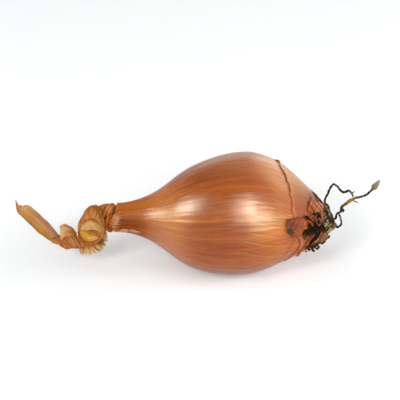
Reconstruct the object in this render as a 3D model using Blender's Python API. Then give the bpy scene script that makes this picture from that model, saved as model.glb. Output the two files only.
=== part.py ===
# A shallot lying on its side: the bulb with its glossy skin and drawn-out neck, the torn
# remnant of the outermost skin round its root end, the corky root plate with its dry roots,
# and the dried leaves that end the neck.
#
# Frame: +X runs along the bulb from the neck to the root plate, +Z is up, and the origin is
# the middle of the small flat spot on the belly that the bulb rests on.
import bmesh
import bpy
import math
import numpy as np
from mathutils import Matrix, Vector

MM = 0.001
GAP = 0.3  # free space between neighbouring pieces, mm
SETTLE = 0.2  # everything is measured before the bulb settles by this much on its belly, mm

# ---- bulb ------------------------------------------------------------------------------
SEGMENTS = 36  # round the bulb
RINGS = 30  # along it
# (x, radius), mm: neck, flare, belly, shoulder, root end
BULB_PROFILE = [
    (-35.2, 4.2), (-31.8, 4.75), (-28.2, 5.75), (-24.6, 7.35), (-21.0, 9.7), (-17.4, 12.4),
    (-13.8, 14.55), (-10.2, 16.05), (-6.6, 17.1), (-3.0, 17.8), (0.6, 18.15), (4.2, 18.1),
    (7.8, 17.25), (11.4, 15.85), (15.0, 13.85), (18.6, 11.4), (22.2, 8.8), (24.6, 6.95), (26.2, 5.4),
]
# (x, y, z), mm: the middle of each section. The neck and the root end both droop a little.
BULB_AXIS = [
    (-35.2, 0.8, 16.3), (-28.0, 0.3, 16.6), (-20.0, -0.2, 16.85), (-10.0, -0.4, 17.5),
    (0.0, 0.1, 18.1), (8.0, 0.6, 18.1), (15.0, 0.9, 17.6), (20.0, 0.7, 16.6), (26.2, 0.2, 14.9),
]

# ---- outermost skin, torn back to the root end ---------------------------------------------
SKIN_THICKNESS = 0.45
SKIN_ROOT_X = 25.2
# (degrees round the bulb, x of the torn edge, mm); 0 is the top and 90 the front
TORN_EDGE = [
    (-30, 11.7), (-19, 12.4), (-3, 13.6), (11, 14.8), (30, 15.8), (45, 16.2), (62, 16.6), (72, 17.2),
    (84, 17.6), (100, 18.7), (111, 19.0), (125, 17.4), (145, 15.2), (165, 14.2), (200, 14.8), (230, 16.6),
    (260, 16.2), (290, 14.4), (313, 12.6),
]
# name: (degrees from, degrees to, x from, x to, lift of the left end, lift of the right end), mm
FLAKES = {
    "flake_spotted": (64, 101, 14.3, 19.2, 0.0, 0.1),
    "flake_dark": (76, 106, 19.9, 22.9, 0.1, 0.5),
    "flake_lifted": (23, 49, 21.4, 25.2, 0.8, 0.1),
    "flake_lower": (84, 124, 23.9, 25.7, 0.1, 0.9),
    "flake_ragged": (122, 150, 20.6, 23.6, 0.3, 1.0),
}
FLAKE_THICKNESS = 0.4

# ---- root plate and roots ------------------------------------------------------------------
PLATE_SEGMENTS = 28
PLATE_FACE = (0.90, 0.15, 0.39)  # the way its face looks
# rings of the plate: (x, y, z, radius, share of the turn towards PLATE_FACE), mm
PLATE_RINGS = [
    (26.5, 0.3, 14.8, 3.9, 0.0), (27.2, 0.5, 15.3, 4.0, 0.35), (28.0, 0.8, 16.0, 3.85, 0.75),
    (28.9, 1.0, 16.6, 3.65, 1.0), (29.3, 1.1, 16.8, 2.5, 1.0),
]
# stubs of broken roots on its face: (across, up, length, radius), mm
PLATE_STUBS = [(-2.3, -1.5, 0.9, 0.5), (-2.2, 1.4, 1.1, 0.55), (0.3, -2.6, 0.8, 0.5), (1.9, 1.6, 0.9, 0.5)]
# paths in mm, each station is (x, y, z, radius)
LONG_ROOT = [
    (30.3, 1.6, 15.4, 0.32), (30.8, 2.0, 16.8, 0.3), (31.7, 2.2, 17.3, 0.34), (32.3, 2.4, 17.7, 0.55),
    (32.1, 2.5, 18.4, 0.42), (32.7, 2.9, 19.2, 0.42), (34.0, 3.4, 19.9, 0.46), (35.2, 4.0, 20.6, 0.4),
    (36.7, 4.6, 21.0, 0.34), (38.0, 5.0, 21.0, 0.32), (39.5, 5.4, 21.3, 0.34), (40.8, 5.9, 22.3, 0.34),
    (41.6, 6.2, 23.0, 0.42), (42.1, 6.4, 23.5, 0.8), (42.8, 6.8, 24.3, 0.62), (43.7, 7.3, 25.4, 0.28),
]
LOOPED_ROOT = [
    (27.2, 3.8, 20.2, 0.32), (27.3, 4.0, 20.9, 0.3), (27.9, 4.4, 22.4, 0.3), (28.7, 4.9, 24.1, 0.3),
    (29.8, 5.2, 25.3, 0.3), (30.9, 5.2, 24.6, 0.3), (31.7, 5.1, 23.3, 0.32), (32.6, 5.0, 22.6, 0.34),
    (33.5, 5.1, 22.6, 0.34), (34.6, 5.3, 23.1, 0.3), (35.2, 5.3, 22.2, 0.28), (35.6, 5.2, 21.4, 0.28),
]
SHORT_ROOT = [
    (31.1, 0.0, 13.4, 0.3), (31.8, 0.1, 13.8, 0.28), (32.2, 0.6, 14.4, 0.28), (32.2, 1.1, 15.4, 0.28),
    (31.8, 1.4, 16.1, 0.28),
]

# ---- dried leaves at the end of the neck ---------------------------------------------------
# bundle that runs on from the neck: (x, y, z, half height, half depth), mm
NECK_BUNDLE = [
    (-35.6, 0.8, 16.0, 3.75, 3.75), (-36.4, 0.8, 16.0, 4.0, 3.9), (-37.3, 0.9, 15.9, 3.65, 3.5),
    (-38.2, 1.2, 15.9, 3.9, 3.0), (-39.2, 3.2, 15.5, 3.3, 0.9), (-40.4, 3.5, 15.4, 3.1, 0.8),
    (-41.6, 3.7, 15.3, 2.3, 0.5),
]
LEAN = 60  # degrees from level, the leaf curl and the bundle share it
CURL_AT = (-43.1, -0.1, 14.2)
CURL_WIDTH, CURL_HEIGHT, CURL_DEPTH = 8.3, 11.7, 3.6
# frayed leaf under the curl: (x, y, z) along its inner edge and along its torn outer edge
FRAYED_INNER = [(-45.9, 1.1, 9.9), (-44.6, 0.8, 9.2), (-43.2, 0.8, 9.0), (-41.6, 0.8, 9.4), (-40.4, 1.0, 10.3), (-39.6, 1.4, 11.2)]
FRAYED_OUTER = [(-47.0, -1.4, 6.6), (-46.0, -2.2, 4.7), (-43.9, -2.6, 4.7), (-40.9, -2.5, 5.7), (-38.6, -2.0, 9.1), (-38.6, -0.9, 11.8)]
# leaf with the tip: (x, y, z, half width, half thickness), pleated part, sharp crease, tube, point
TIP_LEAF = [
    (-48.0, -0.9, 9.4, 2.7, 0.8), (-49.8, -1.0, 10.3, 3.4, 1.1), (-51.6, -0.9, 10.7, 3.5, 1.1), (-53.4, -0.7, 10.0, 2.2, 0.9),
    (-54.9, -0.5, 11.1, 1.9, 0.8), (-57.0, -0.2, 13.3, 1.9, 0.9), (-59.7, 0.1, 15.6, 2.0, 0.9), (-62.1, 0.4, 17.9, 2.1, 0.9),
    (-63.4, 0.6, 19.2, 1.7, 0.7), (-64.6, 0.7, 20.0, 0.9, 0.45), (-65.2, 0.8, 21.1, 0.4, 0.3), (-65.5, 0.9, 22.6, 0.22, 0.2),
]


def spline(stations, at):
    """Smooth curve through (position, value, ...) stations, read at several positions."""
    s = np.array(stations, float)
    x, v = s[:, 0], s[:, 1:]
    slope = np.gradient(v, x, axis=0)
    at = np.clip(np.asarray(at, float), x[0], x[-1])
    i = np.clip(np.searchsorted(x, at, side="right") - 1, 0, len(x) - 2)
    h = (x[i + 1] - x[i])[..., None]
    t = ((at - x[i])[..., None]) / h
    a, b = 2 * t**3 - 3 * t**2 + 1, t**3 - 2 * t**2 + t
    c, d = -2 * t**3 + 3 * t**2, t**3 - t**2
    return a * v[i] + b * h * slope[i] + c * v[i + 1] + d * h * slope[i + 1]


def bulb_point(x, phi):
    """Point on the bulb, mm. phi is in radians, 0 at the top and a quarter turn at the front."""
    x, phi = np.broadcast_arrays(np.asarray(x, float), np.asarray(phi, float))
    r = spline(BULB_PROFILE, x)[..., 0]
    middle = spline(BULB_AXIS, x)
    # a bulb is never quite round: faint lobes that fade towards the neck
    lobes = 0.012 * np.cos(2 * phi + 0.9) + 0.008 * np.cos(3 * phi - 0.6) + 0.005 * np.cos(5 * phi + 2.1)
    r = r * (1 + lobes * np.clip((r - 4) / 10, 0, 1))
    return np.stack([x, middle[..., 0] - r * np.sin(phi), middle[..., 1] + r * np.cos(phi)], -1)


def bulb_out(x, phi, distance):
    """Point at a distance outside the bulb's surface, mm."""
    x, phi = np.broadcast_arrays(np.asarray(x, float), np.asarray(phi, float))
    along = bulb_point(x + 0.05, phi) - bulb_point(x - 0.05, phi)
    around = bulb_point(x, phi + 0.01) - bulb_point(x, phi - 0.01)
    normal = np.cross(along, around)
    normal /= np.linalg.norm(normal, axis=-1, keepdims=True)
    outward = bulb_point(x, phi) - np.concatenate([x[..., None], spline(BULB_AXIS, x)], -1)
    normal *= np.sign((normal * outward).sum(-1, keepdims=True))
    return bulb_point(x, phi) + normal * np.asarray(distance, float)[..., None]


def material(name, colour, roughness):
    made = bpy.data.materials.new(name)
    made.use_nodes = True
    shader = made.node_tree.nodes["Principled BSDF"]
    shader.inputs["Base Color"].default_value = (*colour, 1)
    shader.inputs["Roughness"].default_value = roughness
    shader.inputs["Metallic"].default_value = 0.0
    return made


def add(name, mesh, finish, parent=None):
    """Turns a bmesh in mm into an object in metres, with its faces pointing out."""
    bmesh.ops.recalc_face_normals(mesh, faces=mesh.faces)
    if mesh.calc_volume(signed=True) < 0:
        bmesh.ops.reverse_faces(mesh, faces=mesh.faces)
    bmesh.ops.translate(mesh, vec=(0, 0, -SETTLE), verts=mesh.verts)
    bmesh.ops.scale(mesh, vec=(MM, MM, MM), verts=mesh.verts)
    data = bpy.data.meshes.new(name)
    mesh.to_mesh(data)
    mesh.free()
    data.shade_smooth()
    data.set_sharp_from_angle(angle=math.radians(40))
    data.materials.append(finish)
    made = bpy.data.objects.new(name, data)
    bpy.context.scene.collection.objects.link(made)
    if parent is not None:
        made.parent = parent
    return made


def loft(rings, closed=False):
    """Skins rings of points, (rings, points, 3). An open loft gets a flat cap at each end."""
    mesh = bmesh.new()
    made = [[mesh.verts.new(p) for p in ring] for ring in rings]
    n = len(made[0])
    pairs = list(zip(made, made[1:])) + ([(made[-1], made[0])] if closed else [])
    for a, b in pairs:
        for i in range(n):
            j = (i + 1) % n
            mesh.faces.new((a[i], a[j], b[j], b[i]))
    if not closed:
        mesh.faces.new(list(reversed(made[0])))
        mesh.faces.new(made[-1])
    return mesh


def slab(lower, upper):
    """Closed solid between two sheets of points, each (rows, columns, 3)."""
    mesh = bmesh.new()
    rows, columns = lower.shape[:2]
    low = [[mesh.verts.new(p) for p in row] for row in lower]
    top = [[mesh.verts.new(p) for p in row] for row in upper]
    for r in range(rows - 1):
        for c in range(columns - 1):
            mesh.faces.new((low[r][c], low[r][c + 1], low[r + 1][c + 1], low[r + 1][c]))
            mesh.faces.new((top[r][c], top[r + 1][c], top[r + 1][c + 1], top[r][c + 1]))
    rim = [(0, c) for c in range(columns)] + [(r, columns - 1) for r in range(1, rows)]
    rim += [(rows - 1, c) for c in range(columns - 2, -1, -1)] + [(r, 0) for r in range(rows - 2, 0, -1)]
    for (r0, c0), (r1, c1) in zip(rim, rim[1:] + rim[:1]):
        mesh.faces.new((low[r0][c0], low[r1][c1], top[r1][c1], top[r0][c0]))
    return mesh


def sweep(path, flat_towards, sides, steps, ridges=0.0):
    """Sweeps an oval along a path of (x, y, z, half width, half thickness). The oval's flat side faces flat_towards."""
    p = np.array([(*q[:3], q[3], q[4] if len(q) > 4 else q[3]) for q in path], float)
    along = np.r_[0, np.cumsum(np.linalg.norm(np.diff(p[:, :3], axis=0), axis=1))]
    at = np.linspace(0, along[-1], steps)
    q = spline(np.c_[along, p], at)
    tangent = np.gradient(q[:, :3], at, axis=0)
    tangent /= np.linalg.norm(tangent, axis=1, keepdims=True)
    wide = np.cross(np.array(flat_towards, float), tangent)
    wide /= np.linalg.norm(wide, axis=1, keepdims=True)
    thick = np.cross(tangent, wide)
    a = np.linspace(0, 2 * math.pi, sides, endpoint=False)
    grain = 1 + ridges * np.cos(5 * a + 0.7)
    rings = (
        q[:, None, :3]
        + wide[:, None] * (np.cos(a) * grain)[None, :, None] * q[:, 3, None, None]
        + thick[:, None] * (np.sin(a) * grain)[None, :, None] * q[:, 4, None, None]
    )
    return loft(rings)


def build():
    for old in list(bpy.data.objects):
        bpy.data.objects.remove(old, do_unlink=True)

    glossy_skin = material("glossy_skin", (0.56, 0.23, 0.08), 0.32)
    papery_skin = material("papery_skin", (0.58, 0.31, 0.17), 0.5)
    dark_skin = material("dark_skin", (0.16, 0.07, 0.04), 0.7)
    dry_leaf = material("dry_leaf", (0.60, 0.33, 0.11), 0.45)
    cork = material("cork", (0.33, 0.26, 0.14), 0.85)
    dry_root = material("dry_root", (0.05, 0.03, 0.02), 0.7)

    # Bulb: sections closer together where the radius turns quickly, cut flat where it rests.
    t = np.linspace(0, 1, RINGS)
    x = BULB_PROFILE[0][0] + (BULB_PROFILE[-1][0] - BULB_PROFILE[0][0]) * t
    phi = np.linspace(0, 2 * math.pi, SEGMENTS, endpoint=False)
    mesh = loft(bulb_point(x[:, None], phi[None, :]))
    cut = bmesh.ops.bisect_plane(
        mesh, geom=mesh.verts[:] + mesh.edges[:] + mesh.faces[:], dist=1e-5,
        plane_co=(0, 0, SETTLE), plane_no=(0, 0, -1), clear_outer=True,
    )
    edges = [e for e in cut["geom_cut"] if isinstance(e, bmesh.types.BMEdge)]
    bmesh.ops.contextual_create(mesh, geom=edges)
    add("bulb", mesh, glossy_skin)

    # Outermost skin: a torn cup round the root end, standing just clear of the bulb.
    edge_deg = np.array(TORN_EDGE, float)
    wrapped = np.vstack([edge_deg[-3:] - [360, 0], edge_deg, edge_deg[:3] + [360, 0]])
    deg = np.linspace(-45, 315, SEGMENTS, endpoint=False)
    edge_x = spline(wrapped, deg)[:, 0]
    down = np.linspace(0, 1, 6)[:, None]
    skin_x = edge_x[None, :] * (1 - down) + SKIN_ROOT_X * down
    angle = np.broadcast_to(np.radians(deg), skin_x.shape)
    inner = bulb_out(skin_x, angle, np.full(skin_x.shape, GAP))
    outer = bulb_out(skin_x, angle, np.full(skin_x.shape, GAP + SKIN_THICKNESS))
    add("base_skin", loft(np.concatenate([outer, inner[::-1]]), closed=True), papery_skin)

    # Loose flakes of older skin on it, each a curved patch with a ragged rounded outline.
    u, v = np.meshgrid(np.linspace(-1, 1, 5), np.linspace(-1, 1, 5))
    for count, (name, (d0, d1, x0, x1, lift0, lift1)) in enumerate(FLAKES.items()):
        bearing = np.arctan2(v, u)
        ragged = 1 + 0.10 * np.cos(5 * bearing + 2 * count) + 0.06 * np.cos(9 * bearing + count)
        across = u * np.sqrt(1 - 0.32 * v**2) * ragged
        along = v * np.sqrt(1 - 0.32 * u**2) * ragged
        fa = np.radians((d0 + d1) / 2 + (d1 - d0) / 2 * across)
        fx = (x0 + x1) / 2 + (x1 - x0) / 2 * along
        s = np.clip((along + 1) / 2, 0, 1)
        base = 2 * GAP + SKIN_THICKNESS + lift0 * (1 - s) ** 2 + lift1 * s**2
        under = bulb_out(fx, fa, base)
        over = bulb_out(fx, fa, base + FLAKE_THICKNESS)
        torn = name in ("flake_dark", "flake_lower", "flake_ragged")
        add(name, slab(under, over), dark_skin if torn else papery_skin)

    # Root plate: a short corky stub, its near end square to the bulb and its face tilted up.
    out = Vector(PLATE_FACE).normalized()
    a = np.linspace(0, 2 * math.pi, PLATE_SEGMENTS, endpoint=False)
    rough = 1 + 0.05 * np.cos(3 * a + 1.0) + 0.04 * np.cos(7 * a) + 0.03 * np.cos(11 * a + 2)
    rings = []
    for px, py, pz, radius, share in PLATE_RINGS:
        normal = Vector((1, 0, 0)).lerp(out, share).normalized()
        side = Vector((0, -1, 0)).cross(normal).normalized()
        across = normal.cross(side)
        rings.append(
            [
                tuple(Vector((px, py, pz)) + (side * math.cos(t) + across * math.sin(t)) * radius * k)
                for t, k in zip(a, rough)
            ]
        )
    plate = add("root_plate", loft(rings), cork)
    face = Vector(PLATE_RINGS[-1][:3])
    side = Vector((0, -1, 0)).cross(out).normalized()
    across = out.cross(side)
    for i, (u, v, length, radius) in enumerate(PLATE_STUBS):
        stub = bmesh.new()
        bmesh.ops.create_cone(
            stub, cap_ends=True, segments=7, radius1=radius, radius2=radius * 0.7, depth=length + 1.2
        )
        place = out.to_track_quat("Z", "Y").to_matrix().to_4x4()
        place.translation = face + side * v + across * u + out * (length - 1.2) / 2
        bmesh.ops.transform(stub, matrix=place, verts=stub.verts)
        cutter = add(f"root_stub_{i}", stub, cork)
        cutter.hide_render = True
        cutter.display_type = "WIRE"
        join = plate.modifiers.new(f"stub_{i}", "BOOLEAN")
        join.operation = "UNION"
        join.solver = "EXACT"
        join.object = cutter

    add("long_root", sweep(LONG_ROOT, (0, -0.7, 0.7), 8, 40), dry_root)
    add("looped_root", sweep(LOOPED_ROOT, (0, -0.7, 0.7), 6, 32), dry_root)
    add("short_root", sweep(SHORT_ROOT, (0, -0.7, 0.7), 6, 12), dry_root)

    # Dried leaves. The bundle that leaves the neck flattens where it passes behind the curl.
    up = np.array([0, math.cos(math.radians(LEAN)), math.sin(math.radians(LEAN))])
    out = np.array([0, -up[2], up[1]])
    a = np.linspace(0, 2 * math.pi, 22, endpoint=False)
    pleats = 1 + 0.05 * np.cos(6 * a + 0.5) + 0.03 * np.cos(9 * a)
    along = np.linspace(0, 1, 15)
    x = NECK_BUNDLE[0][0] + (NECK_BUNDLE[-1][0] - NECK_BUNDLE[0][0]) * along
    stations = np.array(NECK_BUNDLE[::-1], float)
    rest = spline(stations, x)
    rings = [
        np.array([x[i], rest[i, 0], rest[i, 1]])
        + np.outer(np.cos(a) * pleats * rest[i, 2], up)
        + np.outer(np.sin(a) * pleats * rest[i, 3], out)
        for i in range(len(x))
    ]
    add("neck_leaves", loft(rings), dry_leaf)

    # Curled leaf: a shallow oval bowl, open towards the front and up.
    wall = [  # (share of the radius, out)
        (0.30, -0.55), (0.75, -0.5), (0.97, -0.2), (1.0, 0.15), (0.93, 0.42), (0.80, 0.40), (0.72, 0.1),
        (0.45, -0.1), (0.2, -0.12),
    ]
    a = np.linspace(0, 2 * math.pi, 28, endpoint=False)
    rings = [
        np.array(CURL_AT)
        + np.outer(share * CURL_WIDTH / 2 * np.cos(a), (1, 0, 0))
        + np.outer(share * CURL_HEIGHT / 2 * np.sin(a), up)
        + np.outer(depth * CURL_DEPTH + 0.4 * share * np.sin(a), out)
        for share, depth in wall
    ]
    add("leaf_curl", loft(rings), dry_leaf)

    # Frayed leaf: a fan that hangs from under the curl, its torn edge split into teeth.
    t = np.linspace(0, 1, 25)
    inner = spline(np.c_[np.linspace(0, 1, len(FRAYED_INNER)), FRAYED_INNER], t)
    outer = spline(np.c_[np.linspace(0, 1, len(FRAYED_OUTER)), FRAYED_OUTER], t)
    reach = np.linspace(0, 1, 5)[:, None, None] * (1 - 0.09 * (np.arange(25) % 2))[None, :, None]
    fan = inner[None] * (1 - reach) + outer[None] * reach
    fan = fan + np.array([0, -0.25, 0]) * np.cos(9 * math.pi * t)[None, :, None] * reach
    add("frayed_leaf", slab(fan, fan + np.array([0, -0.5, 0.1])), dry_leaf)

    # Leaf with the tip: runs left from beside the curl, pleated, sharply creased, then a flat
    # tube that rises to a torn end with a thin point.
    add("tip_leaf", sweep(TIP_LEAF, (0, -0.87, 0.5), 14, 36, ridges=0.05), dry_leaf)


build()
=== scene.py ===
import math

import bpy
import numpy as np
from mathutils import Matrix, Vector


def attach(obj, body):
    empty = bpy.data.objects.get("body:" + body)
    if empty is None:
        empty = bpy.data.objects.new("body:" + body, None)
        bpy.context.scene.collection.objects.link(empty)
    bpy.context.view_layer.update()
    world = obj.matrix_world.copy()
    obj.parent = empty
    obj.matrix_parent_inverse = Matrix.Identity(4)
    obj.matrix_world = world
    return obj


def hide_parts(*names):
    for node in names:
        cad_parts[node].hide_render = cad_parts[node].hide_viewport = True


MM = 0.001
SETTLE = 0.2  # mm, as in the CAD

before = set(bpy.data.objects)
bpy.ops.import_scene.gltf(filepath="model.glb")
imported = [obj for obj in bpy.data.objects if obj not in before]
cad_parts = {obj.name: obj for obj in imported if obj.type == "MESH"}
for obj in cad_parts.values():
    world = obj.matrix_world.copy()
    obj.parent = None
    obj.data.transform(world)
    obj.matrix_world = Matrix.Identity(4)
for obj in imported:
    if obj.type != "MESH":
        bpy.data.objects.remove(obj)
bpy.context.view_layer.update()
scene = bpy.context.scene
rng = np.random.default_rng(7)

# ======================================================================== shape, as in the CAD
BULB_PROFILE = [
    (-35.2, 4.2), (-31.8, 4.75), (-28.2, 5.75), (-24.6, 7.35), (-21.0, 9.7), (-17.4, 12.4),
    (-13.8, 14.55), (-10.2, 16.05), (-6.6, 17.1), (-3.0, 17.8), (0.6, 18.15), (4.2, 18.1),
    (7.8, 17.25), (11.4, 15.85), (15.0, 13.85), (18.6, 11.4), (22.2, 8.8), (24.6, 6.95), (26.2, 5.4),
]
BULB_AXIS = [
    (-35.2, 0.8, 16.3), (-28.0, 0.3, 16.6), (-20.0, -0.2, 16.85), (-10.0, -0.4, 17.5),
    (0.0, 0.1, 18.1), (8.0, 0.6, 18.1), (15.0, 0.9, 17.6), (20.0, 0.7, 16.6), (26.2, 0.2, 14.9),
]
TORN_EDGE = [
    (-30, 11.7), (-19, 12.4), (-3, 13.6), (11, 14.8), (30, 15.8), (45, 16.2), (62, 16.6), (72, 17.2),
    (84, 17.6), (100, 18.7), (111, 19.0), (125, 17.4), (145, 15.2), (165, 14.2), (200, 14.8), (230, 16.6),
    (260, 16.2), (290, 14.4), (313, 12.6),
]
SKIN_ROOT_X = 25.6


def spline(stations, at):
    s = np.array(stations, float)
    x, v = s[:, 0], s[:, 1:]
    slope = np.gradient(v, x, axis=0)
    at = np.clip(np.asarray(at, float), x[0], x[-1])
    i = np.clip(np.searchsorted(x, at, side="right") - 1, 0, len(x) - 2)
    h = (x[i + 1] - x[i])[..., None]
    t = ((at - x[i])[..., None]) / h
    a, b = 2 * t**3 - 3 * t**2 + 1, t**3 - 2 * t**2 + t
    c, d = -2 * t**3 + 3 * t**2, t**3 - t**2
    return a * v[i] + b * h * slope[i] + c * v[i + 1] + d * h * slope[i + 1]


def smooth(a, b, x):
    t = np.clip((np.asarray(x, float) - a) / (b - a), 0, 1)
    return t * t * (3 - 2 * t)


def bulb_point(x, phi):
    x, phi = np.broadcast_arrays(np.asarray(x, float), np.asarray(phi, float))
    r = spline(BULB_PROFILE, x)[..., 0]
    middle = spline(BULB_AXIS, x)
    lobes = 0.012 * np.cos(2 * phi + 0.9) + 0.008 * np.cos(3 * phi - 0.6) + 0.005 * np.cos(5 * phi + 2.1)
    r = r * (1 + lobes * np.clip((r - 4) / 10, 0, 1))
    return np.stack([x, middle[..., 0] - r * np.sin(phi), middle[..., 1] + r * np.cos(phi)], -1)


def bulb_normal(x, phi):
    x, phi = np.broadcast_arrays(np.asarray(x, float), np.asarray(phi, float))
    along = bulb_point(x + 0.05, phi) - bulb_point(x - 0.05, phi)
    around = bulb_point(x, phi + 0.01) - bulb_point(x, phi - 0.01)
    n = np.cross(along, around)
    n /= np.linalg.norm(n, axis=-1, keepdims=True)
    outward = np.stack([0 * x, -np.sin(phi), np.cos(phi)], -1)
    return n * np.sign((n * outward).sum(-1, keepdims=True))


def waves(phi, x, counts, seed, drift=0.02, power=0.5):
    """Periodic wrinkles that run along the bulb: a sum of lobes whose phases wander slowly with x."""
    r = np.random.default_rng(seed)
    out = np.zeros(np.broadcast(phi, x).shape)
    for m in counts:
        p = r.uniform(0, 2 * math.pi)
        wander = r.normal(0, 1, 3)
        slow = wander[0] * np.sin(0.11 * x + wander[1] * 3) + wander[2] * 0.6 * np.sin(0.23 * x + p)
        swell = 0.6 + 0.4 * np.sin(0.17 * x + p * 2 + 2 * np.sin(phi + p))
        out = out + np.cos(m * phi + p + drift * m * slow) * swell / m**power
    return out / math.sqrt(sum(1 / m ** (2 * power) for m in counts))


def fbm(points, scale, seed, octaves=3):
    """Smooth pseudo noise of 3D points, about -1 to 1."""
    r = np.random.default_rng(seed)
    out = np.zeros(points.shape[:-1])
    amp, total, f = 1.0, 0.0, scale
    for _ in range(octaves):
        for _ in range(5):
            k = r.normal(0, 1, 3)
            k = k / np.linalg.norm(k) * f * r.uniform(0.7, 1.4)
            out += amp * np.sin(points @ k + r.uniform(0, 6.28)) / 2.2
        total += amp
        amp, f = amp * 0.5, f * 2.1
    return out / total


# ============================================================================ mesh helpers
def make(name, verts, faces, mat, replaces=(), attrs=None, uv=None, smooth_angle=50):
    data = bpy.data.meshes.new(name)
    verts = np.asarray(verts, float) - [0, 0, SETTLE]
    data.from_pydata([tuple(v) for v in verts * MM], [], [tuple(f) for f in faces])
    data.validate()
    data.update()
    data.shade_smooth()
    data.set_sharp_from_angle(angle=math.radians(smooth_angle))
    for key, values in (attrs or {}).items():
        values = np.asarray(values, float)
        if values.ndim == 1:
            a = data.attributes.new(key, "FLOAT", "POINT")
            a.data.foreach_set("value", values.astype(np.float32))
        else:
            a = data.attributes.new(key, "FLOAT_VECTOR", "POINT")
            a.data.foreach_set("vector", values.astype(np.float32).ravel())
    data.materials.append(mat)
    made = bpy.data.objects.new(name, data)
    scene.collection.objects.link(made)
    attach(made, "root")
    if replaces:
        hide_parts(*replaces)
    return made


def grid_faces(rows, cols, wrap=False, flip=False, base=0):
    out = []
    for r in range(rows - 1):
        for c in range(cols if wrap else cols - 1):
            d = (c + 1) % cols
            q = (base + r * cols + c, base + r * cols + d, base + (r + 1) * cols + d, base + (r + 1) * cols + c)
            out.append(q[::-1] if flip else q)
    return out


def closed_loft(rings):
    """Rings (rows, columns, 3) wrapped round, with a fan cap at each end."""
    rings = np.asarray(rings, float)
    rows, cols = rings.shape[:2]
    verts = list(rings.reshape(-1, 3))
    faces = grid_faces(rows, cols, wrap=True)
    a, b = len(verts), len(verts) + 1
    verts += [rings[0].mean(0), rings[-1].mean(0)]
    for c in range(cols):
        d = (c + 1) % cols
        faces.append((a, d, c))
        faces.append((b, (rows - 1) * cols + c, (rows - 1) * cols + d))
    return np.array(verts), faces


def thin_solid(top, under):
    """Two sheets of points (rows, columns, 3) joined round their rim."""
    rows, cols = top.shape[:2]
    n = rows * cols
    verts = np.concatenate([top.reshape(-1, 3), under.reshape(-1, 3)])
    faces = grid_faces(rows, cols) + grid_faces(rows, cols, flip=True, base=n)
    rim = [(0, c) for c in range(cols)] + [(r, cols - 1) for r in range(1, rows)]
    rim += [(rows - 1, c) for c in range(cols - 2, -1, -1)] + [(r, 0) for r in range(rows - 2, 0, -1)]
    ids = [r * cols + c for r, c in rim]
    for i, j in zip(ids, ids[1:] + ids[:1]):
        faces.append((j, i, n + i, n + j))
    return verts, faces


# ================================================================================ materials
class Nodes:
    """Small helper to write node materials."""

    def __init__(self, name):
        self.m = bpy.data.materials.new(name)
        self.m.use_nodes = True
        self.t = self.m.node_tree
        self.shader = self.t.nodes["Principled BSDF"]

    def new(self, kind, **settings):
        n = self.t.nodes.new(kind)
        for k, v in settings.items():
            setattr(n, k, v)
        return n

    def put(self, value, socket):
        if isinstance(value, bpy.types.NodeSocket):
            self.t.links.new(value, socket)
        elif isinstance(value, (tuple, list)) and len(value) == 3 and socket.type == "RGBA":
            socket.default_value = (*value, 1)
        else:
            socket.default_value = value

    def attr(self, name, vector=False):
        n = self.new("ShaderNodeAttribute", attribute_name=name)
        return n.outputs["Vector" if vector else "Fac"]

    def coords(self):
        return self.new("ShaderNodeTexCoord").outputs["Object"]

    def scaled(self, vector, scale):
        n = self.new("ShaderNodeVectorMath", operation="MULTIPLY")
        self.put(vector, n.inputs[0])
        n.inputs[1].default_value = scale
        return n.outputs[0]

    def noise(self, vector, scale, detail=3.0, rough=0.55, distort=0.0):
        n = self.new("ShaderNodeTexNoise")
        self.put(vector, n.inputs["Vector"])
        n.inputs["Scale"].default_value = scale
        n.inputs["Detail"].default_value = detail
        n.inputs["Roughness"].default_value = rough
        n.inputs["Distortion"].default_value = distort
        return n.outputs["Fac"]

    def ramp(self, value, stops):
        n = self.new("ShaderNodeValToRGB")
        self.put(value, n.inputs["Fac"])
        e = n.color_ramp.elements
        while len(e) < len(stops):
            e.new(0.5)
        for el, (pos, col) in zip(e, stops):
            el.position = pos
            el.color = (*col, 1) if len(col) == 3 else col
        return n.outputs["Color"]

    def map(self, value, a, b, c=0.0, d=1.0):
        n = self.new("ShaderNodeMapRange", clamp=True)
        self.put(value, n.inputs["Value"])
        for k, v in zip(("From Min", "From Max", "To Min", "To Max"), (a, b, c, d)):
            n.inputs[k].default_value = v
        return n.outputs["Result"]

    def mix(self, fac, a, b, blend="MIX"):
        n = self.new("ShaderNodeMix", data_type="RGBA", blend_type=blend)
        self.put(fac, n.inputs["Factor"])
        self.put(a, n.inputs["A"] if False else n.inputs[6])
        self.put(b, n.inputs[7])
        return n.outputs[2]

    def math(self, op, a, b=0.0):
        n = self.new("ShaderNodeMath", operation=op)
        self.put(a, n.inputs[0])
        self.put(b, n.inputs[1])
        return n.outputs[0]

    def bump(self, height, strength, distance, normal=None):
        n = self.new("ShaderNodeBump")
        self.put(height, n.inputs["Height"])
        n.inputs["Strength"].default_value = strength
        n.inputs["Distance"].default_value = distance
        if normal is not None:
            self.put(normal, n.inputs["Normal"])
        return n.outputs["Normal"]

    def set(self, **sockets):
        for k, v in sockets.items():
            self.put(v, self.shader.inputs[k.replace("_", " ")])
        return self.m


def srgb(r, g, b):
    f = lambda c: (c / 255 / 12.92) if c / 255 <= 0.04045 else ((c / 255 + 0.055) / 1.055) ** 2.4
    return (f(r), f(g), f(b))


def lit(r, g, b, gain=0.56):
    """Colour of a surface that looks like (r, g, b) under this light, less the sheen that the light adds."""
    return tuple(max(c * gain - 0.012, 0.0015) for c in srgb(r, g, b))


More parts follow.
